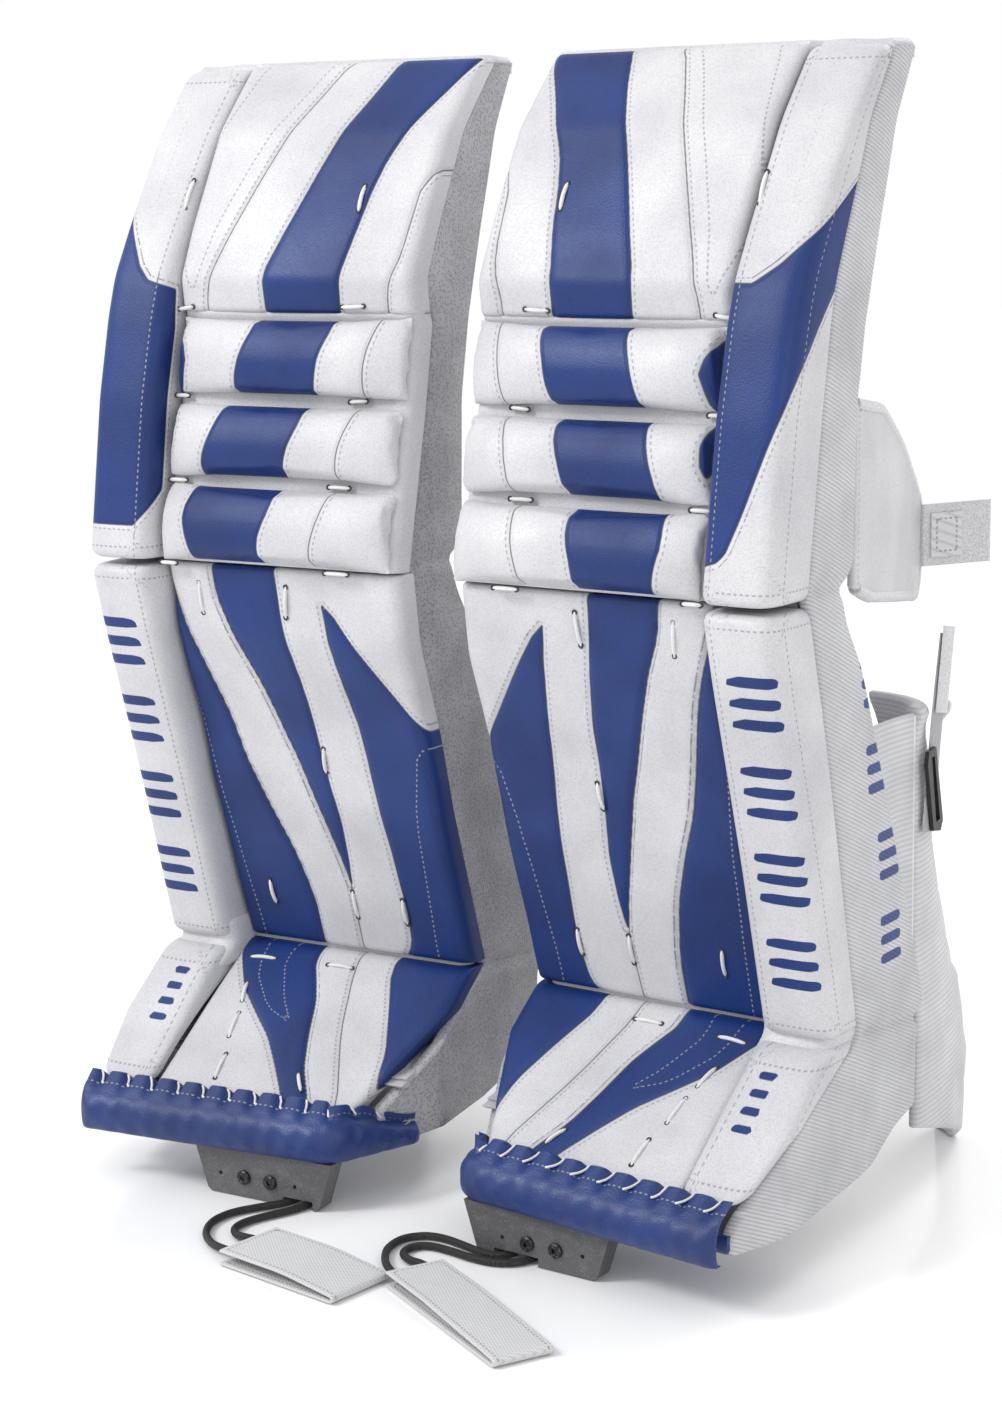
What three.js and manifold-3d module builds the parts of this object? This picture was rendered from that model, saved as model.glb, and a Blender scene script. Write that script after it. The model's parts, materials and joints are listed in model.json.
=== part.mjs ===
// Pair of ice-hockey goalie leg pads, standing toe down on the floor, fronts towards -Y, +Z up, in mm.
// One pad is described in its own frame: +x to the pad's outer side, -y to the front, z from the floor.
// The left leg's pad stands at +X and its mirror image at -X; only the laid-out toe ties differ.
import * as THREE from 'three';
import { mergeVertices } from 'three/addons/utils/BufferGeometryUtils.js';
import Module from 'manifold-3d';

const wasm = await Module();
wasm.setup();

// ---- placing ----
const PAD_X = 172; // half the distance between the two pads' middles
const PAD_Y = -96.41; // brings the pair's ground plan over the origin
const PAD_STAGGER = 3; // one pad stands this far ahead of the middle, the other as far behind
const PAD_YAW = 2.2; // degrees, toes turned apart

// ---- pad, main sizes ----
const INNER_X = -142;
const OUTER_X = 143;
const ROLL_X = 79; // where the flat face ends and the outer roll starts
const WALL = 12; // padded side gusset
const SKIN = 4; // face cover
const GAP = 0.5;
const ANKLE = { y: 38, z: 166, back: 0.14, front: 0.132 }; // hinge line and slopes of its gap
const KNEE = { y: -54, z: 503.5, back: 0.11, front: 0.03 };

// ---- side profiles: at height z, the y of the flat face, the outer roll's front, the seam between that
// roll and the side gusset, the gussets' back edge and the back of the foam core ----
const COLUMNS = ['z', 'face', 'roll', 'seam', 'edge', 'back'];
const UPPER = [
  [495, -53, -80, -30, 42, -3],
  [568, -45, -73, -19, 44, 6],
  [633, -30, -63, -9, 46, 20],
  [698, -18, -47, 3, 59, 36],
  [703, -26, -45, 4, 61, 37],
  [727, -29, -37, 10, 68, 45],
  [763, -12, -16, 26, 79, 57],
  [802, 9, 9, 44, 92, 70],
  [840, 30, 34, 60, 104, 84],
  [890, 77, 78, 96, 132, 112],
  [897, 84, 84, 100, 130, 114],
];
const SHIN = [
  [150, 42, 23, 55, 148, 98],
  [166, 38, 17, 52, 146, 93],
  [240, 18, -7, 38, 128, 70],
  [302, -3, -24, 24, 112, 50],
  [371, -22, -45, 8, 89, 30],
  [426, -42, -62, -6, 67, 9],
  [446, -49, -68, -12, 58, 2],
  [480, -54, -77, -21, 35, -5],
  [510, -59, -83, -30, 18, -10],
];
const BOOT = [
  [43, -113, -122, -110, 156, -46],
  [52, -117, -126, -111, 156, -50],
  [60, -117, -126, -112, 156, -50],
  [80, -88, -104, -88, 156, -21],
  [100, -59, -76, -62, 156, 8],
  [120, -30, -52, -30, 156, 37],
  [140, 0, -27, 8, 156, 67],
  [158, 26, -5, 44, 156, 93],
  [174, 50, 12, 64, 156, 117],
];
const TOE_SKEW = 0.1; // the outer end of the toe is further forward

const PANEL = 6;
const CRADLE = 12;
const KNEE_ROLLS = [[503.9, 567.5], [568.3, 632.5], [633.3, 697.5]]; // bottom and top of each roll
const KNEE_ROLL_CREST = 17;

// calf wraps and knee wing
const WRAP_Y = 152;
const WRAP_REACH = [[0, 174], [84, 180], [177, 147], [270, 98], [363, 72], [400, 52]];
const WRAP_TOP = 400;
const WRAP_T = 10;
const WING_TOP = [[50, 640], [106, 632], [160, 602], [200, 575], [245, 546]];
const WING_FOOT = [[50, 505], [80, 493], [160, 482], [230, 473], [245, 490]];

// toe
const TOE_X = [-99, 127];
const BRIDGE = { x: -37.5, top: 66, foot: 52, y0: -113, y1: -96, z: 40.4, notch: 7.2 };
const SCREW = { x: -32.5, dx: 12.7, z: 17, head: 6, shank: 2.5, eyelet: 36 };
const CORD_R = 3;

const lerp = (table, at) => {
  let i = 0;
  while (i < table.length - 2 && at > table[i + 1][0]) i += 1;
  const [a, b] = [table[i], table[i + 1]];
  return a[1] + ((b[1] - a[1]) * (at - a[0])) / (b[0] - a[0]);
};

// ---- solid helpers ----
function solid(points, index) {
  const g = new THREE.BufferGeometry();
  g.setAttribute('position', new THREE.Float32BufferAttribute(points.flat(), 3));
  let volume = 0;
  const [a, b, c] = [new THREE.Vector3(), new THREE.Vector3(), new THREE.Vector3()];
  for (let i = 0; i < index.length; i += 3) {
    a.fromArray(points[index[i]]);
    b.fromArray(points[index[i + 1]]);
    c.fromArray(points[index[i + 2]]);
    volume += a.dot(b.cross(c));
  }
  g.setIndex(volume < 0 ? index.reverse() : index);
  return g;
}

// skin over a stack of rings that all have the same number of points, closed by two flat ends
function loft(rings) {
  const n = rings[0].length;
  const index = [];
  for (let j = 0; j + 1 < rings.length; j += 1) {
    for (let i = 0; i < n; i += 1) {
      const k = (i + 1) % n;
      index.push(j * n + i, j * n + k, (j + 1) * n + k);
      index.push(j * n + i, (j + 1) * n + k, (j + 1) * n + i);
    }
  }
  for (const [j, forward] of [[0, false], [rings.length - 1, true]]) {
    const ring = rings[j];
    const flatX = ring.every((p) => Math.abs(p[0] - ring[0][0]) < 1e-6);
    const flat = ring.map((p) => (flatX ? new THREE.Vector2(p[1], p[2]) : new THREE.Vector2(p[0], p[1])));
    const turn = Math.sign(THREE.ShapeUtils.area(flat));
    for (const t of THREE.ShapeUtils.triangulateShape(flat, [])) {
      const same = Math.sign(THREE.ShapeUtils.area(t.map((i) => flat[i]))) === turn;
      const corners = same === forward ? t : [t[0], t[2], t[1]];
      index.push(...corners.map((i) => j * n + i));
    }
  }
  return solid(rings.flat(), index);
}

// sheet between two surfaces given over u and v from 0 to 1
function sheet(nu, nv, outer, inner) {
  const points = [];
  for (const f of [outer, inner]) {
    for (let i = 0; i <= nu; i += 1) for (let j = 0; j <= nv; j += 1) points.push(f(i / nu, j / nv));
  }
  const w = nv + 1;
  const half = (nu + 1) * w;
  const index = [];
  for (let i = 0; i < nu; i += 1) {
    for (let j = 0; j < nv; j += 1) {
      const [a, b, c, d] = [i * w + j, (i + 1) * w + j, (i + 1) * w + j + 1, i * w + j + 1];
      index.push(a, b, c, a, c, d);
      index.push(half + a, half + c, half + b, half + a, half + d, half + c);
    }
  }
  const rim = [];
  for (let i = 0; i < nu; i += 1) rim.push(i * w);
  for (let j = 0; j < nv; j += 1) rim.push(nu * w + j);
  for (let i = nu; i > 0; i -= 1) rim.push(i * w + nv);
  for (let j = nv; j > 0; j -= 1) rim.push(j);
  rim.forEach((a, i) => {
    const b = rim[(i + 1) % rim.length];
    index.push(a, half + b, b, a, half + a, half + b);
  });
  return solid(points, index);
}

const prismX = (outline, x0, x1) => loft([x0, x1].map((x) => outline.map(([y, z]) => [x, y, z])));
const prismZ = (outline, z0, z1) => loft([z0, z1].map((z) => outline.map(([x, y]) => [x, y, z])));

function body(geometry) {
  const bare = geometry.clone();
  bare.deleteAttribute('normal');
  bare.deleteAttribute('uv');
  const g = mergeVertices(bare, 1e-4);
  return new wasm.Manifold(new wasm.Mesh({
    numProp: 3,
    vertProperties: new Float32Array(g.attributes.position.array),
    triVerts: new Uint32Array(g.index.array),
  }));
}

function combine(first, steps) {
  let result = body(first);
  for (const [how, other] of steps) result = result[how](body(other));
  const mesh = result.getMesh();
  const g = new THREE.BufferGeometry();
  g.setAttribute('position', new THREE.BufferAttribute(new Float32Array(mesh.vertProperties), 3));
  g.setIndex(Array.from(mesh.triVerts));
  return g;
}

// ---- room left on each side of the two flex lines ----
const line = (j, slope, y) => j.z + slope * (y - j.y);
const ABOVE_KNEE = prismX([[-250, line(KNEE, -KNEE.front, -250) + 0.3], [KNEE.y, KNEE.z + 0.3],
  [400, line(KNEE, KNEE.back, 400) + 0.3], [400, 1000], [-250, 1000]], -300, 300);
const BETWEEN = prismX([[-250, line(KNEE, KNEE.front, -250) - 0.3], [KNEE.y, KNEE.z - 0.3],
  [400, line(KNEE, -KNEE.back, 400) - 0.3], [400, line(ANKLE, -ANKLE.back, 400) + 0.3],
  [ANKLE.y, ANKLE.z + 0.3], [-250, line(ANKLE, -ANKLE.front, -250) + 0.3]], -300, 300);
const BELOW_ANKLE = prismX([[-250, line(ANKLE, ANKLE.front, -250) - 0.3], [ANKLE.y, ANKLE.z - 0.3],
  [400, line(ANKLE, -ANKLE.back, 400) - 0.3], [400, -50], [-250, -50]], -300, 300);

// the toe narrows in plan; d is the distance inside the cover's outline
const toePlan = (d) => prismZ([[-99 + d, -170], [-99 + d, -112 + d / 3], [INNER_X - 1 + d, -5 + d / 3],
  [INNER_X - 1 + d, 320], [OUTER_X + 1 - d, 320], [OUTER_X + 1 - d, -55 + d / 3],
  [129 - d, -112 + d / 3], [129 - d, -170]], 0, 260);

// ---- rings at one height ----
const at = (table, name, z) => lerp(table.map((row) => [row[0], row[COLUMNS.indexOf(name)]]), z);
const skew = (z) => TOE_SKEW * THREE.MathUtils.clamp((165 - z) / 105, 0, 1);
const faceAt = (table, z, x) => at(table, 'face', z) - skew(z) * (x - 14);
const heights = (table) => table.map(([z]) => z);

function coverRing(z, table, inset) {
  const [a, b] = [INNER_X + inset, OUTER_X - inset];
  const [front, notch, back] = [faceAt(table, z, a), at(table, 'seam', z), at(table, 'edge', z) - inset];
  return [
    [a, front + 12, z], [a + 3.5, front + 3.5, z], [a + 12, faceAt(table, z, a + 12), z],
    [ROLL_X, faceAt(table, z, ROLL_X), z], [ROLL_X, notch, z], [b - 2, notch, z], [b, notch + 2, z],
    [b, back - 4, z], [b - 4, back, z], [a + 4, back, z], [a, back - 4, z],
  ];
}

// outline inside the cover's walls, as far back as given
function pocketRing(z, table, skin, back, d) {
  const [a, b] = [INNER_X + WALL + d, OUTER_X - WALL - d];
  const x = ROLL_X - 5 - d;
  return [
    [a, faceAt(table, z, a) + skin + d, z], [x, faceAt(table, z, x) + skin + d, z],
    [x, at(table, 'seam', z) + skin + d, z], [b, at(table, 'seam', z) + skin + d, z],
    [b, back, z], [a, back, z],
  ];
}

function rollRing(z, table, inset) {
  const [front, back] = [at(table, 'roll', z) + inset, at(table, 'seam', z) - 0.6];
  const [a, b] = [ROLL_X + 1.2 + inset, OUTER_X - inset];
  return [
    [a, back, z], [a, front + 7, z], [a + 3, front + 2, z], [a + 10, front, z],
    [b - 12, front, z], [b - 3.5, front + 2.5, z], [b, front + 9, z], [b, back, z],
  ];
}

function panelRing(z, table) {
  const [x0, x1] = [INNER_X + WALL + GAP, OUTER_X - WALL - GAP];
  const y = at(table, 'back', z) + GAP;
  return [[x0, y, z], [x1, y, z], [x1, y + PANEL, z], [x0, y + PANEL, z]];
}

const panelBack = (table, z) => at(table, 'back', z) + 2 * GAP + PANEL;

// ---- the thigh and knee ----
function upperParts() {
  const z = heights(UPPER);
  const inside = [...z.slice(1, -2), 886];
  const shell = loft(z.map((h) => coverRing(h, UPPER, h > 893 ? 5 : 0)));
  const pocket = loft([480, ...inside].map((h) => pocketRing(h, UPPER, SKIN, 220, 0)));
  const core = loft([495, ...inside.slice(0, -1), 882].map((h) => (
    pocketRing(h, UPPER, SKIN, at(UPPER, 'back', h), GAP))));
  const panel = loft([495, ...inside.slice(0, -1), 882].map((h) => panelRing(h, UPPER)));
  const roll = loft([...z.slice(0, -2), 886, 892].map((h) => rollRing(h, UPPER, h > 888 ? 4 : 0)));
  const parts = {
    upper_cover: combine(shell, [['subtract', pocket], ['intersect', ABOVE_KNEE]]),
    upper_core: combine(core, [['intersect', ABOVE_KNEE]]),
    upper_back_panel: combine(panel, [['intersect', ABOVE_KNEE]]),
    upper_outer_roll: combine(roll, [['intersect', ABOVE_KNEE]]),
  };
  KNEE_ROLLS.forEach(([low, high], i) => {
    parts[`knee_roll_${i + 1}`] = combine(kneeRoll(low, high), [['intersect', ABOVE_KNEE]]);
  });
  const [bx0, bx1, thick] = [INNER_X + WALL + 5, -62, 24];
  parts.knee_block = loft([[518, 0.45], [530, 1], [568, 1], [625, 1], [638, 0.45]].map(([h, full]) => {
    const [y, t] = [panelBack(UPPER, h), thick * full];
    return [[bx0, y, h], [bx1, y, h], [bx1, y + t * 0.6, h], [bx1 - 12, y + t, h], [bx0 + 12, y + t, h],
      [bx0, y + t * 0.6, h]];
  }));
  const cradle = (u, v, t) => {
    const h = 518 + 120 * v;
    const lift = CRADLE * (1 - 0.5 * (2 * v - 1) ** 2) + 10 * (2 * u - 1) ** 2;
    return [-56 + 180 * u, panelBack(UPPER, h) + t * lift, h];
  };
  parts.knee_cradle = sheet(8, 5, (u, v) => cradle(u, v, 1), (u, v) => cradle(u, v, 0));
  return parts;
}

// padded roll across the face, flat behind and crowned in front, its ends drawn in
function kneeRoll(low, high) {
  const [xa, xb] = [INNER_X + 1, ROLL_X - 0.6];
  const steps = 7;
  const ends = [[0, 0.45], [0.03, 0.85], [0.12, 1], [0.5, 1.05], [0.88, 1], [0.97, 0.9], [1, 0.6]];
  return loft(ends.map(([u, full]) => {
    const x = xa + (xb - xa) * u;
    const ring = [];
    for (let i = 0; i <= steps; i += 1) {
      const t = i / steps;
      const h = low + (high - low) * t;
      ring.push([x, at(UPPER, 'face', h) - 4 - KNEE_ROLL_CREST * full * Math.sin(Math.PI * t) ** 0.8, h]);
    }
    ring.push([x, at(UPPER, 'face', high) - GAP, high], [x, at(UPPER, 'face', low) - GAP, low]);
    return ring;
  }));
}

// ---- the shin ----
function shinParts() {
  const z = heights(SHIN);
  const shell = loft(z.map((h) => coverRing(h, SHIN, 0)));
  const pocket = loft([120, ...z.slice(1, -1), 530].map((h) => pocketRing(h, SHIN, SKIN, 260, 0)));
  const core = loft(z.map((h) => pocketRing(h, SHIN, SKIN, at(SHIN, 'back', h), GAP)));
  const panel = loft(z.map((h) => panelRing(h, SHIN)));
  const roll = loft(z.map((h) => rollRing(h, SHIN, 0)));
  // thin webs that carry the wraps' fold lines behind both gussets
  const web = (x) => prismX([[60, 200], [20, 440], [60, 425], [88, 400], [148, 396], [148, 158], [120, 162]], x, x + 5);
  const cradle = (u, v, t) => {
    const h = 186 + 290 * v;
    return [-122 + 244 * u, panelBack(SHIN, h) + t * CRADLE * (0.7 + 0.9 * (2 * u - 1) ** 4), h];
  };
  return {
    shin_cover: combine(shell, [['subtract', pocket], ['add', web(OUTER_X - 8)], ['add', web(INNER_X + 3)],
      ['intersect', BETWEEN]]),
    shin_core: combine(core, [['intersect', BETWEEN]]),
    shin_back_panel: combine(panel, [['intersect', BETWEEN]]),
    shin_outer_roll: combine(roll, [['intersect', BETWEEN]]),
    calf_cradle: sheet(8, 8, (u, v) => cradle(u, v, 1), (u, v) => cradle(u, v, 0)),
  };
}

// ---- the boot ----
function bootParts(notch) {
  const z = heights(BOOT);
  const skin = 7; // measured level; the face lies at a slope
  const shell = loft(z.map((h) => coverRing(h, BOOT, 0)));
  const pocket = combine(loft([20, ...z].map((h) => pocketRing(h, BOOT, skin, 260, 0))),
    [['intersect', toePlan(WALL)]]);
  const hollow = prismX([[-39, 20], [-39, 43.2], [80, 54], [122, 76], [170, 92], [170, 20]], -200, 200);
  const core = loft([46, ...z.slice(1)].map((h) => pocketRing(h, BOOT, skin, at(BOOT, 'back', h), GAP)));
  const roll = loft(z.slice(2).map((h) => rollRing(h, BOOT, 0)));
  const clearOfBinding = prismX([[-98, 30], [-98, 300], [260, 300], [260, 30]], -200, 200);
  const binding = [[-0.8, 41], [-8, 42], [-11, 50], [-10.5, 60], [-7, 68], [0, 74], [9, 78], [18, 79.5],
    [18, 74.2], [-0.8, 61]];
  const toeY = (x) => -117.6 - TOE_SKEW * (x - 14);
  const ends = [[0, 0.6], [0.03, 0.9], [0.1, 1], [0.5, 1.06], [0.9, 1], [0.97, 0.9], [1, 0.6]];
  return {
    boot_cover: combine(shell, [['intersect', toePlan(0)], ['subtract', pocket], ['subtract', hollow],
      ['intersect', BELOW_ANKLE]]),
    boot_core: combine(core, [['intersect', toePlan(WALL + GAP)], ['intersect', BELOW_ANKLE]]),
    boot_outer_roll: combine(roll, [['intersect', toePlan(0)], ['intersect', clearOfBinding],
      ['intersect', BELOW_ANKLE]]),
    toe_binding: loft(ends.map(([u, full]) => {
      const x = TOE_X[0] + (TOE_X[1] - TOE_X[0]) * u;
      return binding.map(([y, h]) => [x, toeY(x) + (y < -0.8 ? -0.8 + (y + 0.8) * full : y), h]);
    })),
    boot_strap: sheet(12, 1, (u, v) => [-129.4 + 258.8 * u, 130.5 + 45 * Math.sin(Math.PI * u), 92 + 25 * v],
      (u, v) => [-129.4 + 258.8 * u, 128 + 45 * Math.sin(Math.PI * u), 92 + 25 * v]),
    ...toeBridge(notch),
  };
}

// folded webbing block under the toe; the low notch lets the tie's two strands out at the front
function toeBridge([n0, n1]) {
  const { x, top, foot, y0, y1, z, notch } = BRIDGE;
  const shape = new THREE.Shape([[x - top, z], [x - foot - 2, 3], [x - foot + 2, 0], [n0, 0], [n0, notch],
    [n1, notch], [n1, 0], [x + foot - 2, 0], [x + foot + 2, 3], [x + top, z]].map(([a, b]) => (
    new THREE.Vector2(a, b))));
  for (const [dx, r, n] of [[-SCREW.dx, SCREW.shank + 0.3, 16], [SCREW.dx, SCREW.shank + 0.3, 16],
    [-SCREW.eyelet, 1.8, 10], [SCREW.eyelet, 1.8, 10]]) {
    const hole = new THREE.Path();
    for (let i = 0; i < n; i += 1) {
      const a = (2 * Math.PI * i) / n;
      hole[i ? 'lineTo' : 'moveTo'](SCREW.x + dx + r * Math.cos(a), SCREW.z + r * Math.sin(a));
    }
    shape.holes.push(hole);
  }
  const block = new THREE.ExtrudeGeometry(shape, { depth: y1 - y0, bevelEnabled: false });
  block.rotateX(Math.PI / 2);
  block.translate(0, y1, 0);
  const parts = { toe_bridge: block };
  const { head, shank } = SCREW;
  const profile = [[0, 1.6], [2, 1.6], [2, 0.3], [head - 1.2, 0.3], [head, 1.4], [head, 3], [shank, 3],
    [shank, 12], [0, 12]].map(([r, h]) => new THREE.Vector2(r, h));
  [-1, 1].forEach((s, i) => {
    const screw = new THREE.LatheGeometry(profile, 14);
    screw.translate(SCREW.x + s * SCREW.dx, y0 - 3.4, SCREW.z);
    parts[`screw_${i + 1}`] = screw;
  });
  return parts;
}

// ---- wraps and wing ----
function wrapParts() {
  const startY = (h) => WRAP_Y + 10 * THREE.MathUtils.clamp((166 - h) / 14, 0, 1);
  const foot = (u) => Math.max(0, 60 - 78 * u);
  const wrap = (u, v, t) => {
    const a = (85 * Math.PI * u) / 180;
    const h = foot(u) + (WRAP_TOP - foot(u)) * v;
    const bulge = t > 0 ? 0 : 3 * Math.sin(Math.PI * v);
    return [OUTER_X - 2 - t - (67 - 0.7 * t) * (1 - Math.cos(a)) + bulge * u,
      startY(h) + (lerp(WRAP_REACH, h) - t) * Math.sin(a), h];
  };
  const innerWrap = (u, v, t) => {
    const a = (70 * Math.PI * u) / 180;
    const h = 170 + 40 * u + (210 - 60 * u) * v;
    return [INNER_X + 1 + t + 25 * (1 - Math.cos(a)), WRAP_Y + (95 - t / 2) * Math.sin(a), h];
  };
  const strap = [[156, 305], [160, 298], [172, 300], [202, 448], [190, 462], [178, 444]];
  return {
    calf_wrap_outer: sheet(9, 8, (u, v) => wrap(u, v, 0), (u, v) => wrap(u, v, WRAP_T)),
    calf_wrap_inner: sheet(6, 4, (u, v) => innerWrap(u, v, 0), (u, v) => innerWrap(u, v, WRAP_T)),
    calf_strap: prismX(strap, OUTER_X + 0.4, OUTER_X + 2.9),
    strap_hook: strapHook(),
  };
}

// wire-and-bar keeper: a frame with one slot, hung outside the strap
function strapHook() {
  const outline = [[152, 356], [164, 302], [176, 300], [180, 308], [166, 368], [154, 366]];
  const slot = [[158.5, 361], [163.5, 361], [174.5, 310], [168, 308]];
  const shape = new THREE.Shape(outline.map(([y, z]) => new THREE.Vector2(-z, y)));
  shape.holes.push(new THREE.Path(slot.map(([y, z]) => new THREE.Vector2(-z, y))));
  const hook = new THREE.ExtrudeGeometry(shape, { depth: 3.5, bevelEnabled: false });
  hook.rotateY(Math.PI / 2);
  hook.translate(OUTER_X + 3.6, 0, 0);
  return hook;
}

function wingParts() {
  const y0 = 50;
  const x = (y) => OUTER_X - 4 - 45 * Math.max(0, (y - y0) / 200) ** 1.5;
  const wing = (u, v, t) => {
    const y = y0 + 195 * u;
    const [low, high] = [lerp(WING_FOOT, y), lerp(WING_TOP, y)];
    return [x(y) - t, y, low + (high - low) * v];
  };
  // the tab stands off the wing's outer face, outwards and back
  const root = 232;
  const tab = (u, v, t) => [x(root) + 1 + 43 * u + 0.66 * t, root + 38 * u - 0.75 * t, 495 + 3 * u + 52 * v];
  return {
    knee_wing: sheet(8, 4, (u, v) => wing(u, v, 0), (u, v) => wing(u, v, 8)),
    knee_strap: sheet(5, 2, (u, v) => tab(u, v, 6), (u, v) => tab(u, v, 0)),
  };
}

// ---- toe ties, laid out on the floor; a path's x is not mirrored, a notch's is ----
const TIES = {
  left: {
    notch: [-76, -36],
    path: [[-62, -76, 20], [-62, -78, 11.5], [-62, -83.5, 5.8], [-62.4, -92, 3.5], [-63, -102, 3.3],
      [-65, -110.5, 3.2], [-70.5, -116, 3.2], [-80, -118.6, 3.2], [-104, -113.6, 3.2],
      [-124, -110.5, 3.2], [-140, -114, 3.2], [-150.5, -128, 3.2], [-149, -149, 3.2], [-137, -169, 3.6],
      [-121, -185.5, 5.8], [-103.4, -197, 6.2], [-86, -206.5, 6.4], [-76.9, -208.1, 6.4],
      [-68.8, -203.9, 6.4], [-64.6, -195.8, 6.4], [-66.1, -186.7, 6.4], [-72.6, -180.3, 6.4],
      [-90, -171.5, 6.2], [-106, -165.5, 5.8], [-119, -161, 4], [-128, -156, 3.2], [-133.5, -150.5, 3.2],
      [-135.5, -143, 3.2], [-133.5, -135.5, 3.2], [-128, -130, 3.2], [-119, -127.6, 3.2],
      [-103, -128.4, 3.2], [-84, -130.5, 3.2], [-64, -128.5, 3.2], [-49.5, -118, 3.2], [-44.5, -104, 3.3],
      [-44, -92, 3.5], [-44, -83.5, 5.8], [-44, -78, 11.5], [-44, -76, 20]],
    tab: { from: [-98, -184], to: [50, -259], width: 48 },
  },
  right: {
    notch: [-85, -57],
    path: [[63, -76, 20], [63, -78, 11.5], [63, -83.5, 5.8], [63, -92, 3.5], [63, -103, 3.3],
      [58, -118, 3.2], [46, -134, 3.2], [35, -153, 3.2], [33, -175, 3.2], [42, -196, 3.2],
      [57, -211, 3.6], [73, -221, 5.8], [90.9, -224.8, 6.2], [109.1, -228.1, 6.4], [118.1, -226.9, 6.4],
      [124.7, -220.5, 6.4], [126.3, -211.5, 6.4], [122.4, -203.3, 6.4], [114.3, -199, 6.4],
      [96.1, -195.7, 6.2], [79, -195, 5.8], [66, -189, 3.6], [57, -179, 3.2], [56, -165, 3.2],
      [62, -148, 3.2], [71, -131, 3.2], [77, -117, 3.2], [79, -103, 3.3], [79, -92, 3.5],
      [79, -83.5, 5.8], [79, -78, 11.5], [79, -76, 20]],
    tab: { from: [92, -210], to: [208.6, -233.1], width: 60 },
  },
};

function tieParts({ path, tab }) {
  const curve = new THREE.CatmullRomCurve3(path.map((p) => new THREE.Vector3(...p)), false, 'centripetal');
  const ring = new THREE.Shape();
  for (let i = 0; i < 6; i += 1) {
    const a = (Math.PI * i) / 3;
    ring[i ? 'lineTo' : 'moveTo'](CORD_R * Math.cos(a), CORD_R * Math.sin(a));
  }
  const cord = new THREE.ExtrudeGeometry(ring, { steps: 72, bevelEnabled: false, extrudePath: curve });
  const [dx, dy] = [tab.to[0] - tab.from[0], tab.to[1] - tab.from[1]];
  const length = Math.hypot(dx, dy);
  const fold = [[0, 0.2], [length - 5, 0.2], [length - 1, 2.2], [length, 4], [length - 1, 5.8],
    [length - 5, 7.4], [62, 13], [0, 13], [0, 10.4], [60, 10.4], [length - 9, 4.6], [length - 9, 2.8],
    [0, 2.8]];
  const strip = loft([-0.5, 0.5].map((v) => fold.map(([along, h]) => [v * tab.width, along, h])));
  strip.rotateZ(Math.atan2(dy, dx) - Math.PI / 2);
  strip.translate(tab.from[0], tab.from[1], 0);
  return { toe_cord: cord, toe_tab: strip };
}

const COLOURS = {
  leather: 0xe9e9ea, core: 0xd8d5cc, blue: 0x1f4596, knit: 0xdadbdd, web: 0xe4e4e4, dark: 0x3a3a3d,
  black: 0x0d0d0e, plastic: 0x141416,
};
const LOOK = {
  boot_core: 'core', shin_core: 'core', upper_core: 'core', toe_binding: 'blue', calf_wrap_outer: 'knit',
  calf_wrap_inner: 'knit', knee_wing: 'knit', knee_cradle: 'knit', calf_cradle: 'knit', knee_block: 'knit',
  boot_strap: 'web', calf_strap: 'web', knee_strap: 'web', toe_tab: 'web', toe_bridge: 'dark',
  toe_cord: 'black', screw_1: 'black', screw_2: 'black', strap_hook: 'plastic',
};

// vertices welded, faces outward, and turned over when the pad is the mirror image
function finished(geometry, mirror) {
  const bare = geometry.clone();
  bare.deleteAttribute('normal');
  bare.deleteAttribute('uv');
  if (mirror) bare.scale(-1, 1, 1);
  const g = mergeVertices(bare, 1e-4);
  const at = g.attributes.position;
  const points = Array.from({ length: at.count }, (_, i) => [at.getX(i), at.getY(i), at.getZ(i)]);
  const whole = solid(points, Array.from(g.index.array));
  whole.computeVertexNormals();
  return whole;
}

function pad(name, side) {
  const group = new THREE.Group();
  group.name = `${name}_pad`;
  const ties = TIES[name];
  const sewn = { ...upperParts(), ...shinParts(), ...bootParts(ties.notch), ...wrapParts(), ...wingParts() };
  const laid = tieParts(ties);
  for (const [set, mirror] of [[sewn, side < 0], [laid, false]]) {
    for (const [part, geometry] of Object.entries(set)) {
      const material = new THREE.MeshStandardMaterial({ color: COLOURS[LOOK[part] ?? 'leather'], roughness: 0.8 });
      const mesh = new THREE.Mesh(finished(geometry, mirror), material);
      mesh.name = `${name}_${part}`;
      group.add(mesh);
    }
  }
  group.rotation.z = THREE.MathUtils.degToRad(-side * PAD_YAW);
  group.position.set(side * PAD_X, PAD_Y - side * PAD_STAGGER, 0);
  return group;
}

const pair = new THREE.Group();
pair.name = 'goalie_leg_pads';
pair.add(pad('right', -1), pad('left', 1));
export default pair;
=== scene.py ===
"""Pair of ice-hockey goalie leg pads: the soft goods, laces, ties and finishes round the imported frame.

A pad is described in its own frame in millimetres: +x to its outer side, -y to its front, z from the floor.
"""

import json
import math

import bpy
import numpy as np
from mathutils import Matrix, Vector

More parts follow.
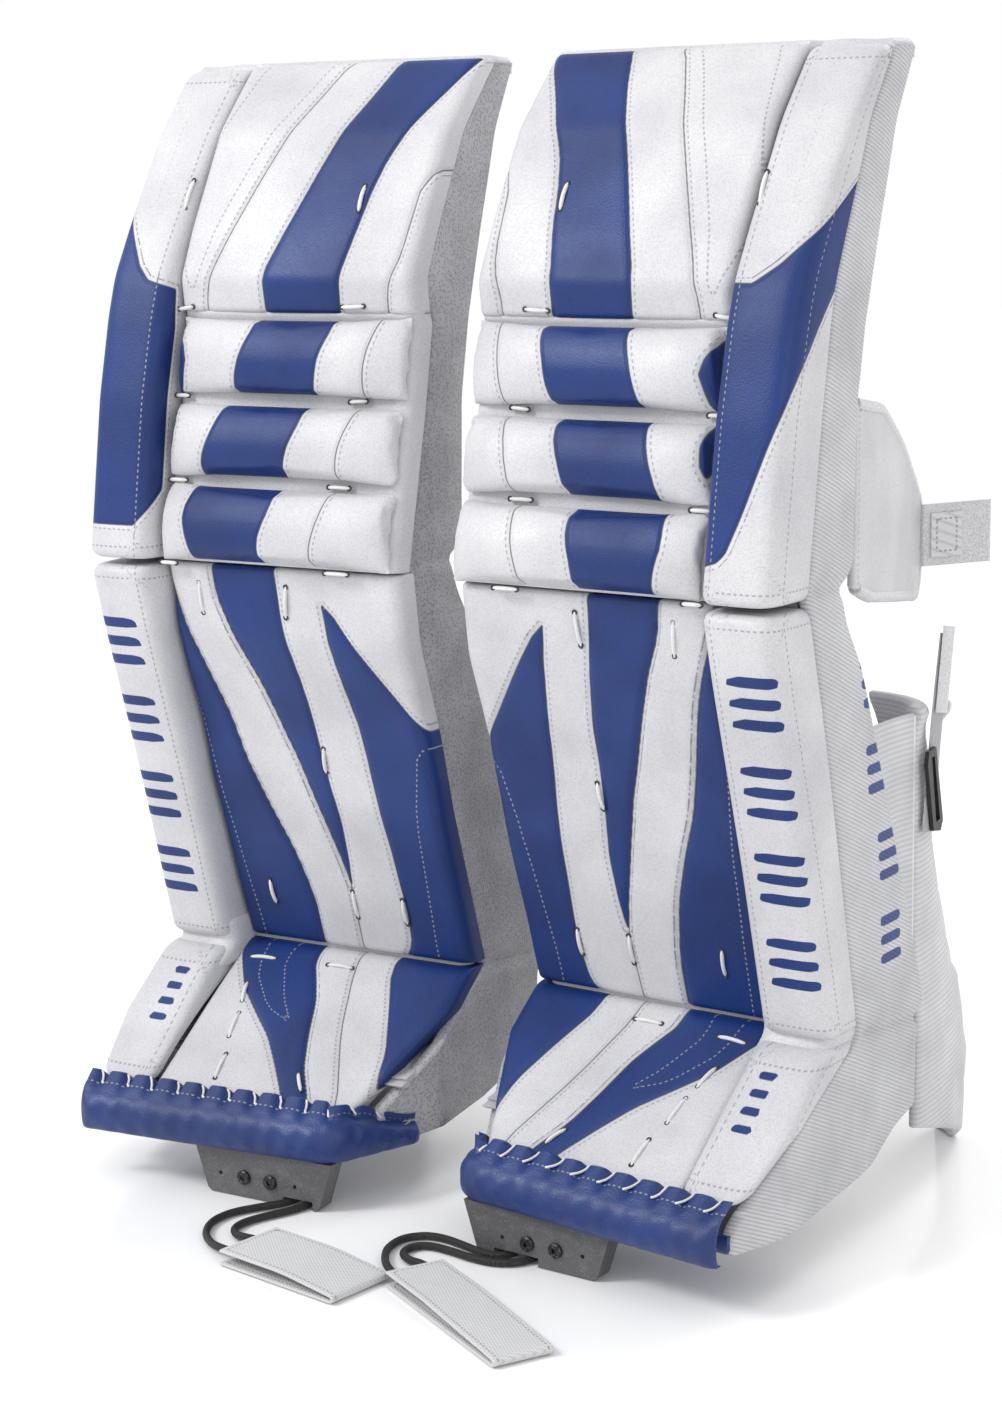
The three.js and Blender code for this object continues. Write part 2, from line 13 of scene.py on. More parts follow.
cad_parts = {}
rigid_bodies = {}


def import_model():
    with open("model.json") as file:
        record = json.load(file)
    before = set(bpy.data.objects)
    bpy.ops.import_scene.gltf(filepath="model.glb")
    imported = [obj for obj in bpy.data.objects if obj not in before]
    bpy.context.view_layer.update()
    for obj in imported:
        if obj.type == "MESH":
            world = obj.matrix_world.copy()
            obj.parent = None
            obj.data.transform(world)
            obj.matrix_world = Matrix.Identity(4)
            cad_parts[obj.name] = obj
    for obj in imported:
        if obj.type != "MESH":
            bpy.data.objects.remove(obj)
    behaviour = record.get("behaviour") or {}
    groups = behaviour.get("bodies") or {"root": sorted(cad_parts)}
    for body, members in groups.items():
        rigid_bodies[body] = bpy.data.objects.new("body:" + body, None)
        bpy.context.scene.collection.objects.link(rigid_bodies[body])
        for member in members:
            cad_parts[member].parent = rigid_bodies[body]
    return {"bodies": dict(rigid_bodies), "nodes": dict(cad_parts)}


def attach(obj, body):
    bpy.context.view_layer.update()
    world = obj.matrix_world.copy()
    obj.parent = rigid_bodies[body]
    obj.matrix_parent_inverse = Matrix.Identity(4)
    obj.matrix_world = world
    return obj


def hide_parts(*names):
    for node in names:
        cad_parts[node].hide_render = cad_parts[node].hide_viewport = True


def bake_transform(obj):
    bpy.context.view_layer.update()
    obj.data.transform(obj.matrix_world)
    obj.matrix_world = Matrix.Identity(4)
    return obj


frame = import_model()
for thing in list(bpy.data.objects):
    if thing not in list(frame["nodes"].values()) + list(frame["bodies"].values()):
        bpy.data.objects.remove(thing)
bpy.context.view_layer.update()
SIDES = {"left": 1, "right": -1}

# ---- where a pad stands in the row frame ----
PAD_X, PAD_Y, STAGGER = 172.0, -96.41, 3.0
YAW = math.radians(2.2)


def to_row(points, side, mirrored=True):
    """Pad points in millimetres as row-frame points in metres."""
    p = np.asarray(points, float).reshape(-1, 3)
    x = p[:, 0] * (side if mirrored else 1)
    c, s = math.cos(YAW), -side * math.sin(YAW)
    across = c * x - s * p[:, 1] + side * PAD_X
    deep = s * x + c * p[:, 1] + PAD_Y - side * STAGGER
    return np.stack([across, deep, p[:, 2]], 1) / 1000


def pad_points(node):
    """Corners of one of the left pad's CAD nodes, in the pad's frame."""
    p = np.array([v.co for v in frame["nodes"][node].data.vertices], float) * 1000
    dx, dy = p[:, 0] - PAD_X, p[:, 1] - PAD_Y + STAGGER
    c, s = math.cos(YAW), math.sin(YAW)
    return np.stack([c * dx - s * dy, s * dx + c * dy, p[:, 2]], 1)


# ---- side profiles, read from the CAD nodes ----
def profile(node, x, pick, low, high):
    """y of a surface as a soft function of z, from the node's corners at x; pick is their order from the front."""
    rows = {}
    for px, py, pz in pad_points(node):
        if abs(px - x) < 0.4 and low <= pz <= high:
            rows.setdefault(round(pz, 1), set()).add(round(py, 1))
    table = [(z, sorted(ys)[pick]) for z, ys in sorted(rows.items()) if len(ys) > max(pick, 0)]
    zs, ys = np.array(table).T
    first, last = (ys[1] - ys[0]) / (zs[1] - zs[0]), (ys[-1] - ys[-2]) / (zs[-1] - zs[-2])

    def lerp(z):
        y = np.interp(z, zs, ys)
        return y + np.where(z < zs[0], (z - zs[0]) * first, 0) + np.where(z > zs[-1], (z - zs[-1]) * last, 0)

    return lambda z, soft=7: sum(lerp(np.asarray(z, float) + d * soft) for d in (-1, -0.5, 0, 0.5, 1)) / 5


COVER = pad_points("left_upper_cover")
INNER, OUTER = COVER[:, 0].min(), COVER[:, 0].max()
ROLL = pad_points("left_upper_outer_roll")[:, 0].min() - 1.2
WALL = 12.0
RANGE = {"upper": (560, 898), "shin": (180, 485), "boot": (42, 145)}


def part_profiles(part):
    low, high = RANGE[part]
    cover, roll, core = (f"left_{part}_{n}" for n in ("cover", "outer_roll", "core"))
    return {
        "face": profile(cover, ROLL, 0, low, high),
        "seam": profile(cover, ROLL, 1, low, high),
        "edge": profile(cover, OUTER - 4, -1, low, high),
        "roll": profile(roll, ROLL + 11.2, 0, low, high),
        "back": profile(core, OUTER - WALL - 0.5, -1, low, high),
    }


UPPER, SHIN, BOOT = (part_profiles(n) for n in ("upper", "shin", "boot"))
THIGH_FACE = profile("left_upper_cover", ROLL, 0, 702, 898)
ANKLE_Z, KNEE_Z, TOP_Z = 166.0, 503.5, COVER[:, 2].max()
KNEE_ROLLS = [pad_points(f"left_knee_roll_{i}")[:, 2] for i in (1, 2, 3)]
KNEE_ROLLS = [(z.min(), z.max()) for z in KNEE_ROLLS]


def toe_x(y):
    """Inner and outer side of the pad at y: the toe narrows in plan."""
    return np.interp(y, [-112, -5], [-99, INNER]), np.interp(y, [-112, -55], [129, OUTER])


def toe_skew(x, z):
    return 0.1 * np.clip((165 - z) / 105, 0, 1) * (x - ROLL)


# ---- mesh helpers ----
def slab(front, back):
    """Closed piece between two grids of points of the same size."""
    n, m = front.shape[:2]
    verts = np.concatenate([front.reshape(-1, 3), back.reshape(-1, 3)])
    i = np.arange(n * m).reshape(n, m)
    quads = np.stack([i[:-1, :-1], i[1:, :-1], i[1:, 1:], i[:-1, 1:]], -1).reshape(-1, 4)
    rim = np.concatenate([i[:-1, 0], i[-1, :-1], i[:0:-1, -1], i[0, :0:-1]])
    nxt = np.roll(rim, -1)
    sides = np.stack([rim, rim + n * m, nxt + n * m, nxt], -1)
    return outward(verts, np.concatenate([quads, quads[:, ::-1] + n * m, sides]).tolist())


def outward(verts, faces):
    """The same piece with its faces turned outwards."""
    verts = np.asarray(verts, float)
    corners = np.array([f if len(f) == 4 else [*f, f[2]] for f in faces])
    a, b, c, d = (verts[corners[:, k]] for k in range(4))
    volume = (a * (np.cross(b, c) + np.cross(c, d))).sum()
    return verts, faces if volume > 0 else [f[::-1] for f in faces]


def ring_loft(rings):
    """Closed piece over a stack of closed rings, with a fan at each end."""
    rings = np.asarray(rings, float)
    r, n = rings.shape[:2]
    verts = np.concatenate([rings.reshape(-1, 3), rings[0].mean(0)[None], rings[-1].mean(0)[None]])
    i = np.arange(r * n).reshape(r, n)
    j = np.roll(i, -1, 1)
    quads = np.stack([i[:-1], j[:-1], j[1:], i[1:]], -1).reshape(-1, 4).tolist()
    caps = [[b, a, r * n] for a, b in zip(i[0], j[0])] + [[a, b, r * n + 1] for a, b in zip(i[-1], j[-1])]
    return outward(verts, quads + caps)


def tube(path, radius, sides=8):
    """Round closed tube along a path; radius is one number or one for each point."""
    path = np.asarray(path, float)
    radius = np.broadcast_to(radius, len(path))
    along = np.gradient(path, axis=0)
    along /= np.linalg.norm(along, axis=1)[:, None]
    up = np.cross(along[0], [0.3, 0.2, 1.0])
    rings = []
    for p, t, r in zip(path, along, radius):
        up = up - np.dot(up, t) * t
        up /= np.linalg.norm(up)
        other = np.cross(t, up)
        a = np.linspace(0, 2 * math.pi, sides, endpoint=False)[:, None]
        rings.append(p + r * (np.cos(a) * up + np.sin(a) * other))
    return ring_loft(rings)


def joined(pieces):
    verts, faces, base = [], [], 0
    for v, f in pieces:
        verts.append(v)
        faces += [[k + base for k in face] for face in f]
        base += len(v)
    return np.concatenate(verts), faces


def smooth_path(points, count):
    """Points along a Catmull-Rom curve through a few given ones."""
    p = np.asarray(points, float)
    p = np.concatenate([2 * p[:1] - p[1:2], p, 2 * p[-1:] - p[-2:-1]])
    out = []
    for s in np.linspace(0, len(p) - 3.0001, count):
        k, t = int(s), s - int(s)
        a, b, c, d = p[k:k + 4]
        out.append(0.5 * (2 * b + (c - a) * t + (2 * a - 5 * b + 4 * c - d) * t * t
                          + (3 * b - a - 3 * c + d) * t ** 3))
    return np.array(out)


def spaced(a, b, step, edge=9):
    """Stations from a to b, closer together near both ends."""
    ends = np.array([0, 0.6, 1.6, 3, 5, 7])
    inner = np.linspace(a + edge, b - edge, max(2, int(round((b - a - 2 * edge) / step)) + 1))
    return np.concatenate([a + ends, inner, (b - ends)[::-1]])


def fillet(d, r):
    """How far a rounded edge of radius r drops at distance d from the side."""
    d = np.clip(d, 0, r)
    return r - np.sqrt(np.maximum(r * r - (r - d) ** 2, 0))


# ---- outlines of the colour panels ----
def soft_corners(outline, rounds=1):
    p = np.asarray(outline, float)
    for _ in range(rounds):
        q = np.roll(p, -1, 0)
        p = np.stack([0.85 * p + 0.15 * q, 0.15 * p + 0.85 * q], 1).reshape(-1, 2)
    return p


def distance(points, outlines):
    """Signed distance to the nearest outline, positive inside one, and the way along that outline."""
    best, run = np.full(len(points), -60.0), np.zeros(len(points))
    for outline in outlines:
        a = soft_corners(outline)
        b = np.roll(a, -1, 0)
        d = b - a
        length = np.maximum(np.linalg.norm(d, axis=1), 1e-6)
        starts = np.concatenate([[0], np.cumsum(length)[:-1]])
        rel = points[:, None] - a[None]
        t = np.clip((rel * d).sum(-1) / length ** 2, 0, 1)
        gap = np.linalg.norm(rel - t[..., None] * d, axis=-1)
        k = gap.argmin(1)
        rows = np.arange(len(points))
        x, y = points[:, :1], points[:, 1:]
        crosses = (a[:, 1] > y) != (b[:, 1] > y)
        slope = np.where(np.abs(d[:, 1]) < 1e-9, 1e-9, d[:, 1])
        inside = (crosses & (x < a[:, 0] + (y - a[:, 1]) * d[:, 0] / slope)).sum(1) % 2 == 1
        signed = np.where(inside, gap[rows, k], -gap[rows, k])
        nearer = signed > best
        best = np.where(nearer, signed, best)
        run = np.where(nearer, starts[k] + t[rows, k] * length[k], run)
    return best, run


def bars(boxes, slant=0.35):
    """Slanted bars as outlines; boxes are (middle across, middle up, half width, half height)."""
    return [[(x - w + slant * h, z + h), (x + w + slant * h, z + h), (x + w - slant * h, z - h), (x - w - slant * h, z - h)]
            for x, z, w, h in boxes]


# ---- node materials ----
class Shade:
    """One procedural material; each call adds a node and gives back its output."""

    def __init__(self, name):
        self.mat = bpy.data.materials.new(name)
        self.mat.use_nodes = True
        self.tree = self.mat.node_tree
        self.bsdf = self.tree.nodes["Principled BSDF"]
        self.place = self.node("ShaderNodeTexCoord").outputs["Object"]

    def node(self, kind, inputs=None, **settings):
        n = self.tree.nodes.new(kind)
        for key, value in settings.items():
            setattr(n, key, value)
        for key, value in (inputs or {}).items():
            self.put(n.inputs[key], value)
        return n

    def put(self, socket, value):
        if isinstance(value, bpy.types.NodeSocket):
            self.tree.links.new(value, socket)
        elif value is not None:
            socket.default_value = (*value, 1) if isinstance(value, tuple) and len(value) == 3 and socket.type == "RGBA" else value

    def math(self, op, a, b=None, clamp=False):
        return self.node("ShaderNodeMath", {0: a, 1: b}, operation=op, use_clamp=clamp).outputs[0]

    def ramp(self, value, low, high, a=0.0, b=1.0):
        n = self.node("ShaderNodeMapRange", {"Value": value, "From Min": low, "From Max": high, "To Min": a, "To Max": b})
        return n.outputs[0]

    def mix(self, share, a, b):
        n = self.node("ShaderNodeMix", {0: share, 6: a, 7: b}, data_type="RGBA")
        return n.outputs[2]

    def attribute(self, name):
        return self.node("ShaderNodeAttribute", attribute_name=name).outputs["Fac"]

    def noise(self, scale, detail=3.0, roughness=0.5, place=None):
        return self.node("ShaderNodeTexNoise", {"Vector": place or self.place, "Scale": scale, "Detail": detail,
                                                "Roughness": roughness}).outputs["Fac"]

    def cells(self, scale, feature="F1"):
        return self.node("ShaderNodeTexVoronoi", {"Vector": self.place, "Scale": scale}, feature=feature).outputs["Distance"]

    def axis(self, name):
        return self.node("ShaderNodeSeparateXYZ", {0: self.place}).outputs[name]

    def line(self, field, at, half, soft=0.35):
        """1 where field is within half of at, 0 away from it."""
        off = self.math("ABSOLUTE", self.math("SUBTRACT", field, at))
        return self.ramp(off, half, half + soft, 1.0, 0.0)

    def bumps(self, *heights):
        """Chained bumps of (height, distance in metres, strength)."""
        normal = None
        for height, depth, strength in heights:
            inputs = {"Height": height, "Distance": depth, "Strength": strength}
            if normal is not None:
                inputs["Normal"] = normal
            normal = self.node("ShaderNodeBump", inputs).outputs[0]
        self.put(self.bsdf.inputs["Normal"], normal)

    def done(self, colour, roughness, **constants):
        self.put(self.bsdf.inputs["Base Color"], colour)
        self.put(self.bsdf.inputs["Roughness"], roughness)
        for key, value in constants.items():
            self.bsdf.inputs[key.replace("_", " ")].default_value = value
        return self.mat


WHITE, WHITE_SHADE = (0.60, 0.60, 0.62), (0.50, 0.50, 0.525)
BLUE, BLUE_SHADE = (0.004, 0.030, 0.165), (0.003, 0.020, 0.115)
# stitch thread colour, and near-black for the dark pores of the grain and for painted shade along the sunk seams
THREAD, PORE_DARK_AND_SEAM_SHADE = (0.30, 0.30, 0.32), (0.05, 0.05, 0.06)


def panel_leather(name):
    """Synthetic leather in white and blue panels with sunk seams, painted shade along them, and dotted stitching, from
    the panel fields.
    """
    s = Shade(name)
    blue, panel, sew, run = (s.attribute(n) for n in ("blue", "panel", "sew", "run"))
    patchy = s.ramp(s.noise(14, 4), 0.35, 0.7)
    white = s.mix(patchy, WHITE, WHITE_SHADE)
    deep = s.mix(patchy, BLUE, BLUE_SHADE)
    pores = s.ramp(s.cells(620), 0.0, 0.55)
    printed = s.ramp(s.attribute("ink"), -0.2, 0.2)
    colour = s.mix(s.math("MAXIMUM", s.ramp(blue, -0.2, 0.2), printed), white, deep)
    colour = s.mix(s.math("MULTIPLY", s.math("SUBTRACT", 1.0, pores, True), 0.22), colour, PORE_DARK_AND_SEAM_SHADE)
    seam = s.math("MAXIMUM", s.line(blue, 0.0, 0.35), s.line(panel, 0.0, 0.45))
    dash = s.ramp(s.math("PINGPONG", run, 2.4), 1.0, 1.3, 1.0, 0.0)
    rows = s.math("MAXIMUM", s.math("MAXIMUM", s.line(blue, -3.6, 0.35), s.line(panel, 3.6, 0.35)), s.line(sew, 0.0, 0.4))
    stitch = s.math("MULTIPLY", rows, dash)
    # painted shade: the sunk seam lines are darkened towards near-black
    colour = s.mix(s.math("MULTIPLY", seam, 0.75), colour, PORE_DARK_AND_SEAM_SHADE)
    colour = s.mix(s.math("MULTIPLY", stitch, 0.85), colour, THREAD)
    scuffs = s.ramp(s.noise(55, 6, 0.7), 0.62, 0.8)
    rough = s.math("ADD", s.ramp(patchy, 0, 1, 0.44, 0.54), s.math("MULTIPLY", scuffs, 0.16))
    near = s.math("MINIMUM", s.math("ABSOLUTE", blue), s.math("ABSOLUTE", panel))
    s.bumps((s.ramp(near, 0, 3.2), 0.0011, 0.7), (s.math("SUBTRACT", 1.0, stitch), 0.0005, 0.7),
            (s.noise(38, 5, 0.6), 0.0011, 0.28), (pores, 0.00022, 0.5))
    return s.done(colour, rough, Specular_IOR_Level=0.38)


def plain_leather(name, base, shade, grain=620, depth=0.00025, rough=0.48, mottled=0.0):
    """One colour of synthetic leather with pores, soft creases and a row of edge stitching."""
    s = Shade(name)
    sew, run = s.attribute("sew"), s.attribute("run")
    patchy = s.ramp(s.noise(16, 4), 0.35, 0.7)
    pores = s.ramp(s.cells(grain), 0.0, 0.55)
    colour = s.mix(patchy, base, shade)
    colour = s.mix(s.math("MULTIPLY", s.math("SUBTRACT", 1.0, pores, True), 0.25 + mottled), colour, PORE_DARK_AND_SEAM_SHADE)
    dash = s.ramp(s.math("PINGPONG", run, 2.4), 1.0, 1.3, 1.0, 0.0)
    stitch = s.math("MULTIPLY", s.line(sew, 0.0, 0.4), dash)
    colour = s.mix(s.math("MULTIPLY", stitch, 0.8), colour, THREAD)
    s.bumps((s.math("SUBTRACT", 1.0, stitch), 0.0005, 0.7), (s.noise(34, 5, 0.6), 0.0014, 0.3), (pores, depth, 0.55))
    return s.done(colour, s.ramp(patchy, 0, 1, rough, rough + 0.1), Coat_Weight=0.05, Coat_Roughness=0.4)


def knit(name):
    """Ribbed polyester knit, with painted shade darkening the valleys between its ribs; blue bars are printed where the
    ink field is positive.
    """
    s = Shade(name)
    ink = s.attribute("ink")
    tilt = s.math("ADD", s.axis("Z"), s.math("MULTIPLY", s.axis("Y"), 0.45))
    rib = s.math("PINGPONG", s.math("ADD", tilt, s.math("MULTIPLY", s.noise(30), 0.0012)), 0.0016)
    rib = s.ramp(rib, 0.0, 0.0016)
    loops = s.ramp(s.cells(780), 0.0, 0.6)
    white = s.mix(s.ramp(s.noise(20), 0.3, 0.7), (0.58, 0.58, 0.60), (0.46, 0.46, 0.48))
    # painted shade: the valleys between the ribs are darkened towards dark grey
    colour = s.mix(s.ramp(rib, 0.0, 0.6, 0.6, 0.0), white, (0.20, 0.20, 0.22))
    colour = s.mix(s.ramp(ink, -0.2, 0.2), colour, BLUE)
    s.bumps((rib, 0.0007, 0.7), (loops, 0.0002, 0.5), (s.noise(18, 3), 0.002, 0.25))
    return s.done(colour, s.ramp(loops, 0, 1, 0.72, 0.86), Sheen_Weight=0.25, Sheen_Roughness=0.5)


def ribbed(name):
    """Thick ribbed wrap fabric with a coarse weave, with painted shade darkening the troughs between its ribs."""
    s = Shade(name)
    rib = s.ramp(s.math("PINGPONG", s.axis("Z"), 0.0021), 0.0, 0.0021)
    cross = s.ramp(s.math("PINGPONG", s.math("ADD", s.axis("Y"), s.axis("X")), 0.0013), 0.0, 0.0013)
    weave = s.math("MULTIPLY", rib, s.ramp(cross, 0, 1, 0.6, 1.0))
    base = s.mix(s.ramp(s.noise(22), 0.3, 0.7), (0.64, 0.64, 0.66), (0.52, 0.52, 0.54))
    # painted shade: the troughs between the ribs are darkened towards grey
    colour = s.mix(s.ramp(weave, 0.0, 0.7, 0.45, 0.0), base, (0.28, 0.28, 0.30))
    s.bumps((weave, 0.0008, 0.6), (s.noise(14, 3), 0.003, 0.3))
    return s.done(colour, s.ramp(weave, 0, 1, 0.9, 0.74), Sheen_Weight=0.2, Sheen_Roughness=0.5)


def fuzzy(name, base=(0.66, 0.66, 0.68)):
    """Brushed loop fabric for hook-and-loop closing."""
    s = Shade(name)
    loops = s.noise(900, 2, 0.7)
    clumps = s.noise(160, 4, 0.6)
    dark = tuple(0.62 * c for c in base)
    colour = s.mix(s.ramp(loops, 0.35, 0.65), dark, s.mix(s.ramp(clumps, 0.3, 0.7), base, tuple(1.1 * c for c in base)))
    s.bumps((loops, 0.0008, 0.8), (clumps, 0.0012, 0.5))
    return s.done(colour, s.ramp(loops, 0, 1, 0.86, 0.98), Sheen_Weight=0.5, Sheen_Roughness=0.6)


def webbing(name, base, pitch=0.0016, rough=0.6):
    """Flat woven tape: two sets of yarns and stitched lines along its edge."""
    s = Shade(name)
    sew, run = s.attribute("sew"), s.attribute("run")
    a = s.ramp(s.math("PINGPONG", s.math("ADD", s.axis("X"), s.axis("Z")), pitch), 0.0, pitch)
    b = s.ramp(s.math("PINGPONG", s.math("ADD", s.axis("Y"), s.math("MULTIPLY", s.axis("Z"), 0.6)), pitch), 0.0, pitch)
    yarn = s.math("MAXIMUM", s.math("MULTIPLY", a, b), s.math("MULTIPLY", s.math("SUBTRACT", 1.0, a), s.math("SUBTRACT", 1.0, b)))
    dark = tuple(0.55 * c for c in base)
    colour = s.mix(s.ramp(yarn, 0.0, 0.5), dark, s.mix(s.noise(60), base, tuple(0.9 * c for c in base)))
    dash = s.ramp(s.math("PINGPONG", run, 2.0), 0.8, 1.1, 1.0, 0.0)
    stitch = s.math("MULTIPLY", s.line(sew, 0.0, 0.45), dash)
    colour = s.mix(s.math("MULTIPLY", stitch, 0.8), colour, tuple(0.35 * c for c in base))
    s.bumps((yarn, 0.0004, 0.6), (s.math("SUBTRACT", 1.0, stitch), 0.0006, 0.7))
    return s.done(colour, s.ramp(yarn, 0, 1, rough + 0.15, rough), Sheen_Weight=0.15)


def speckled(name, base, fleck, rough):
    """Moulded or coated dark material with fine flecks and rubbed patches."""
    s = Shade(name)
    spots = s.ramp(s.cells(540), 0.10, 0.22, 1.0, 0.0)
    worn = s.ramp(s.noise(90, 5, 0.7), 0.5, 0.8)
    colour = s.mix(s.math("MULTIPLY", spots, 0.8), s.mix(worn, base, tuple(1.8 * c for c in base)), fleck)
    s.bumps((s.noise(420, 3), 0.0003, 0.5), (spots, 0.0002, 0.3))
    return s.done(colour, s.ramp(worn, 0, 1, rough, rough + 0.18), Coat_Weight=0.1)


def steel(name):
    """Blackened screw steel, brighter where a driver has rubbed it."""
    s = Shade(name)
    rubbed = s.ramp(s.noise(380, 4, 0.7), 0.5, 0.72)
    colour = s.mix(rubbed, (0.035, 0.035, 0.038), (0.16, 0.16, 0.165))
    s.bumps((s.noise(700, 3), 0.0002, 0.4),)
    return s.done(colour, s.ramp(rubbed, 0, 1, 0.34, 0.5), Metallic=0.9)


def woven_cord(name):
    """Braided cord: yarns crossing along and round it."""
    s = Shade(name)
    a = s.ramp(s.math("PINGPONG", s.math("ADD", s.axis("X"), s.axis("Y")), 0.0011), 0, 0.0011)
    b = s.ramp(s.math("PINGPONG", s.math("SUBTRACT", s.axis("X"), s.axis("Y")), 0.0011), 0, 0.0011)
    yarn = s.math("MAXIMUM", a, b)
    colour = s.mix(s.ramp(yarn, 0.3, 1.0), (0.003, 0.003, 0.003), (0.020, 0.020, 0.022))
    s.bumps((yarn, 0.0006, 0.7), (s.noise(900, 2), 0.0002, 0.4))
    return s.done(colour, s.ramp(yarn, 0, 1, 0.75, 0.5))


MAT = {
    "panels": panel_leather("panel_leather"),
    "white": plain_leather("white_leather", WHITE, WHITE_SHADE),
    # painted shade: the inner side walls are white leather, given a darker grey because they stand in shade
    "gusset": plain_leather("white_gusset_painted_shade", (0.44, 0.44, 0.46), (0.32, 0.32, 0.34), 430, 0.0007, 0.56, 0.35),
    "blue": plain_leather("blue_leather", BLUE, BLUE_SHADE, 560, 0.0003, 0.42),
    "knit": knit("ribbed_knit"),
    "ribbed": ribbed("wrap_fabric"),
    "fuzzy": fuzzy("loop_fabric"),
    "lining": fuzzy("brushed_lining", (0.50, 0.50, 0.52)),
    "tape": webbing("white_tape", (0.66, 0.66, 0.67)),
    "strap": webbing("grey_strap", (0.42, 0.42, 0.44)),
    "lace": plain_leather("white_lace", (0.74, 0.74, 0.74), (0.66, 0.66, 0.66), 900, 0.0002, 0.6),
    "eyelet": speckled("dark_eyelet", (0.02, 0.02, 0.022), (0.1, 0.1, 0.1), 0.5),
    "bridge": speckled("coated_bridge", (0.085, 0.085, 0.09), (0.30, 0.30, 0.31), 0.45),
    "plastic": speckled("hook_plastic", (0.008, 0.008, 0.009), (0.03, 0.03, 0.03), 0.32),
    "steel": steel("screw_steel"),
    "cord": woven_cord("braided_cord"),
}

# ---- making and placing a piece ----
MADE = {}


def make(name, side, shape, body, material, replaces=(), fields=None, mirrored=True):
    """A named piece on one pad; body is a name, or (a, b, start, end) for a piece across a bend between two bodies,
    which is left unparented and does not bend.
    """
    pad = "left" if side > 0 else "right"
    name = f"{name}_soft" if f"{pad}_{name}" in frame["nodes"] else name
    verts, faces = shape
    if side < 0 and mirrored:
        faces = [list(f)[::-1] for f in faces]
    mesh = bpy.data.meshes.new(f"{pad}_{name}")
    mesh.from_pydata(to_row(verts, side, mirrored).tolist(), [], [list(f) for f in faces])
    blank = {"blue": -60.0, "panel": -60.0, "sew": -60.0, "ink": -60.0, "run": 0.0}
    for key, values in {**{k: np.full(len(verts), v) for k, v in blank.items()}, **(fields or {})}.items():
        mesh.attributes.new(key, "FLOAT", "POINT").data.foreach_set("value", np.asarray(values, np.float32))
    mesh.polygons.foreach_set("use_smooth", [True] * len(mesh.polygons))
    mesh.set_sharp_from_angle(angle=math.radians(48))
    mesh.materials.append(MAT[material])
    mesh.update()
    obj = bpy.data.objects.new(f"{pad}_{name}", mesh)
    bpy.context.scene.collection.objects.link(obj)
    if isinstance(body, str):
        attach(obj, f"{pad}_{body}")
    else:
        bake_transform(obj)
    if replaces:
        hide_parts(*(f"{pad}_{n}" for n in replaces))
    MADE[obj.name] = obj
    return obj


def fields_at(points, z_map, blue=(), panel=(), sew=()):
    """Panel fields of a piece's points; z_map turns z into the way along the surface."""
    flat = np.stack([points[:, 0], z_map(points[:, 2])], 1)

    def lay(outlines):
        return [[(x, float(z_map(z))) for x, z in outline] for outline in outlines]

    b, run_b = distance(flat, lay(blue))
    p, run_p = distance(flat, lay(panel))
    w, run_w = distance(flat, lay(sew))
    order = np.stack([np.abs(b + 3.6), np.abs(p - 3.6), np.abs(w)]).argmin(0)
    run = np.choose(order, [run_b, run_p, run_w])
    return {"blue": b, "panel": p, "sew": w, "run": run, "ink": np.full(len(b), -60.0)}


def along_surface(face, low, high):
    """z to the arc length along a side profile."""
    z = np.linspace(low, high, 240)
    y = face(z)
    s = np.concatenate([[0], np.cumsum(np.hypot(np.diff(z), np.diff(y)))])
    return lambda q: np.interp(q, z, s)


def face_panel(face, z0, z1, depth, relief, radius=8, step=2.8, x0=None, x1=None, deep=None):
    """Crowned front panel between the inner corner and the outer roll."""
    z = spaced(z0, z1, step)
    x0 = np.full(len(z), INNER + 1.0) if x0 is None else x0(z)
    x1 = np.full(len(z), ROLL - 0.6) if x1 is None else x1(z)
    u = spaced(0, 220, step) / 220
    X = x0[None] + (x1 - x0)[None] * u[:, None]
    Z = np.broadcast_to(z, X.shape).copy()
    Y = face(X, Z)
    inner_r = radius + 4
    Y = Y + fillet(X - x0[None], inner_r) + fillet(x1[None] - X, radius) + fillet(Z - z0, radius * 0.6) + fillet(z1 - Z, radius * 0.6)
    front = np.stack([X, Y + relief(X, Z), Z], -1)
    back = np.stack([X, face(X, Z) + depth, Z], -1)
    return slab(front, back)


# ---- the colour panels, in mm across and up the pad ----
THIGH_BLUE = [[(-142, 930), (-136, 887), (-114, 855), (-93, 817), (-86, 792), (-82, 767), (-74, 730), (-73, 690),
               (-4, 690), (-3, 731), (-16, 767), (-34, 816), (-57, 866), (-68, 893), (-80, 930)]]
THIGH_PANEL = [[(-40, 935), (-21, 893), (0, 852), (21, 803), (44, 743), (52, 712), (53, 690), (140, 690), (140, 935)],
               [(-170, 830), (-131, 800), (-127, 745), (-118, 717), (-117, 690), (-170, 690)]]
THIGH_SEW = [[(-22, 930), (-6, 894), (29, 827), (52, 767), (61, 722), (66, 717), (78, 745), (82, 781), (74, 838),
              (60, 893), (50, 930)]]
ROLL_BLUE = [
    [[(-34, 580), (-33, 551), (-25, 526), (-24, 490), (37, 490), (43, 521), (49, 545), (41, 580)]],
    [[(-54, 645), (-53, 618), (-44, 595), (-35, 555), (40, 555), (37, 586), (26, 617), (18, 645)],
     [(84, 645), (68, 617), (70, 596), (86, 575)]],
    [[(-74, 710), (-74, 688), (-67, 669), (-63, 649), (-54, 620), (18, 620), (12, 651), (7, 670), (0, 689), (-1, 710)],
     [(92, 712), (61, 668), (70, 638), (92, 620)]],
]
ROLL_PANEL = [
    [[(-170, 580), (-87, 580), (-79, 543), (-73, 520), (-71, 490), (-170, 490)]],
    [[(-170, 645), (-106, 645), (-92, 600), (-86, 555), (-170, 555)]],
    [[(-170, 710), (-118, 710), (-108, 668), (-103, 620), (-170, 620)]],
]
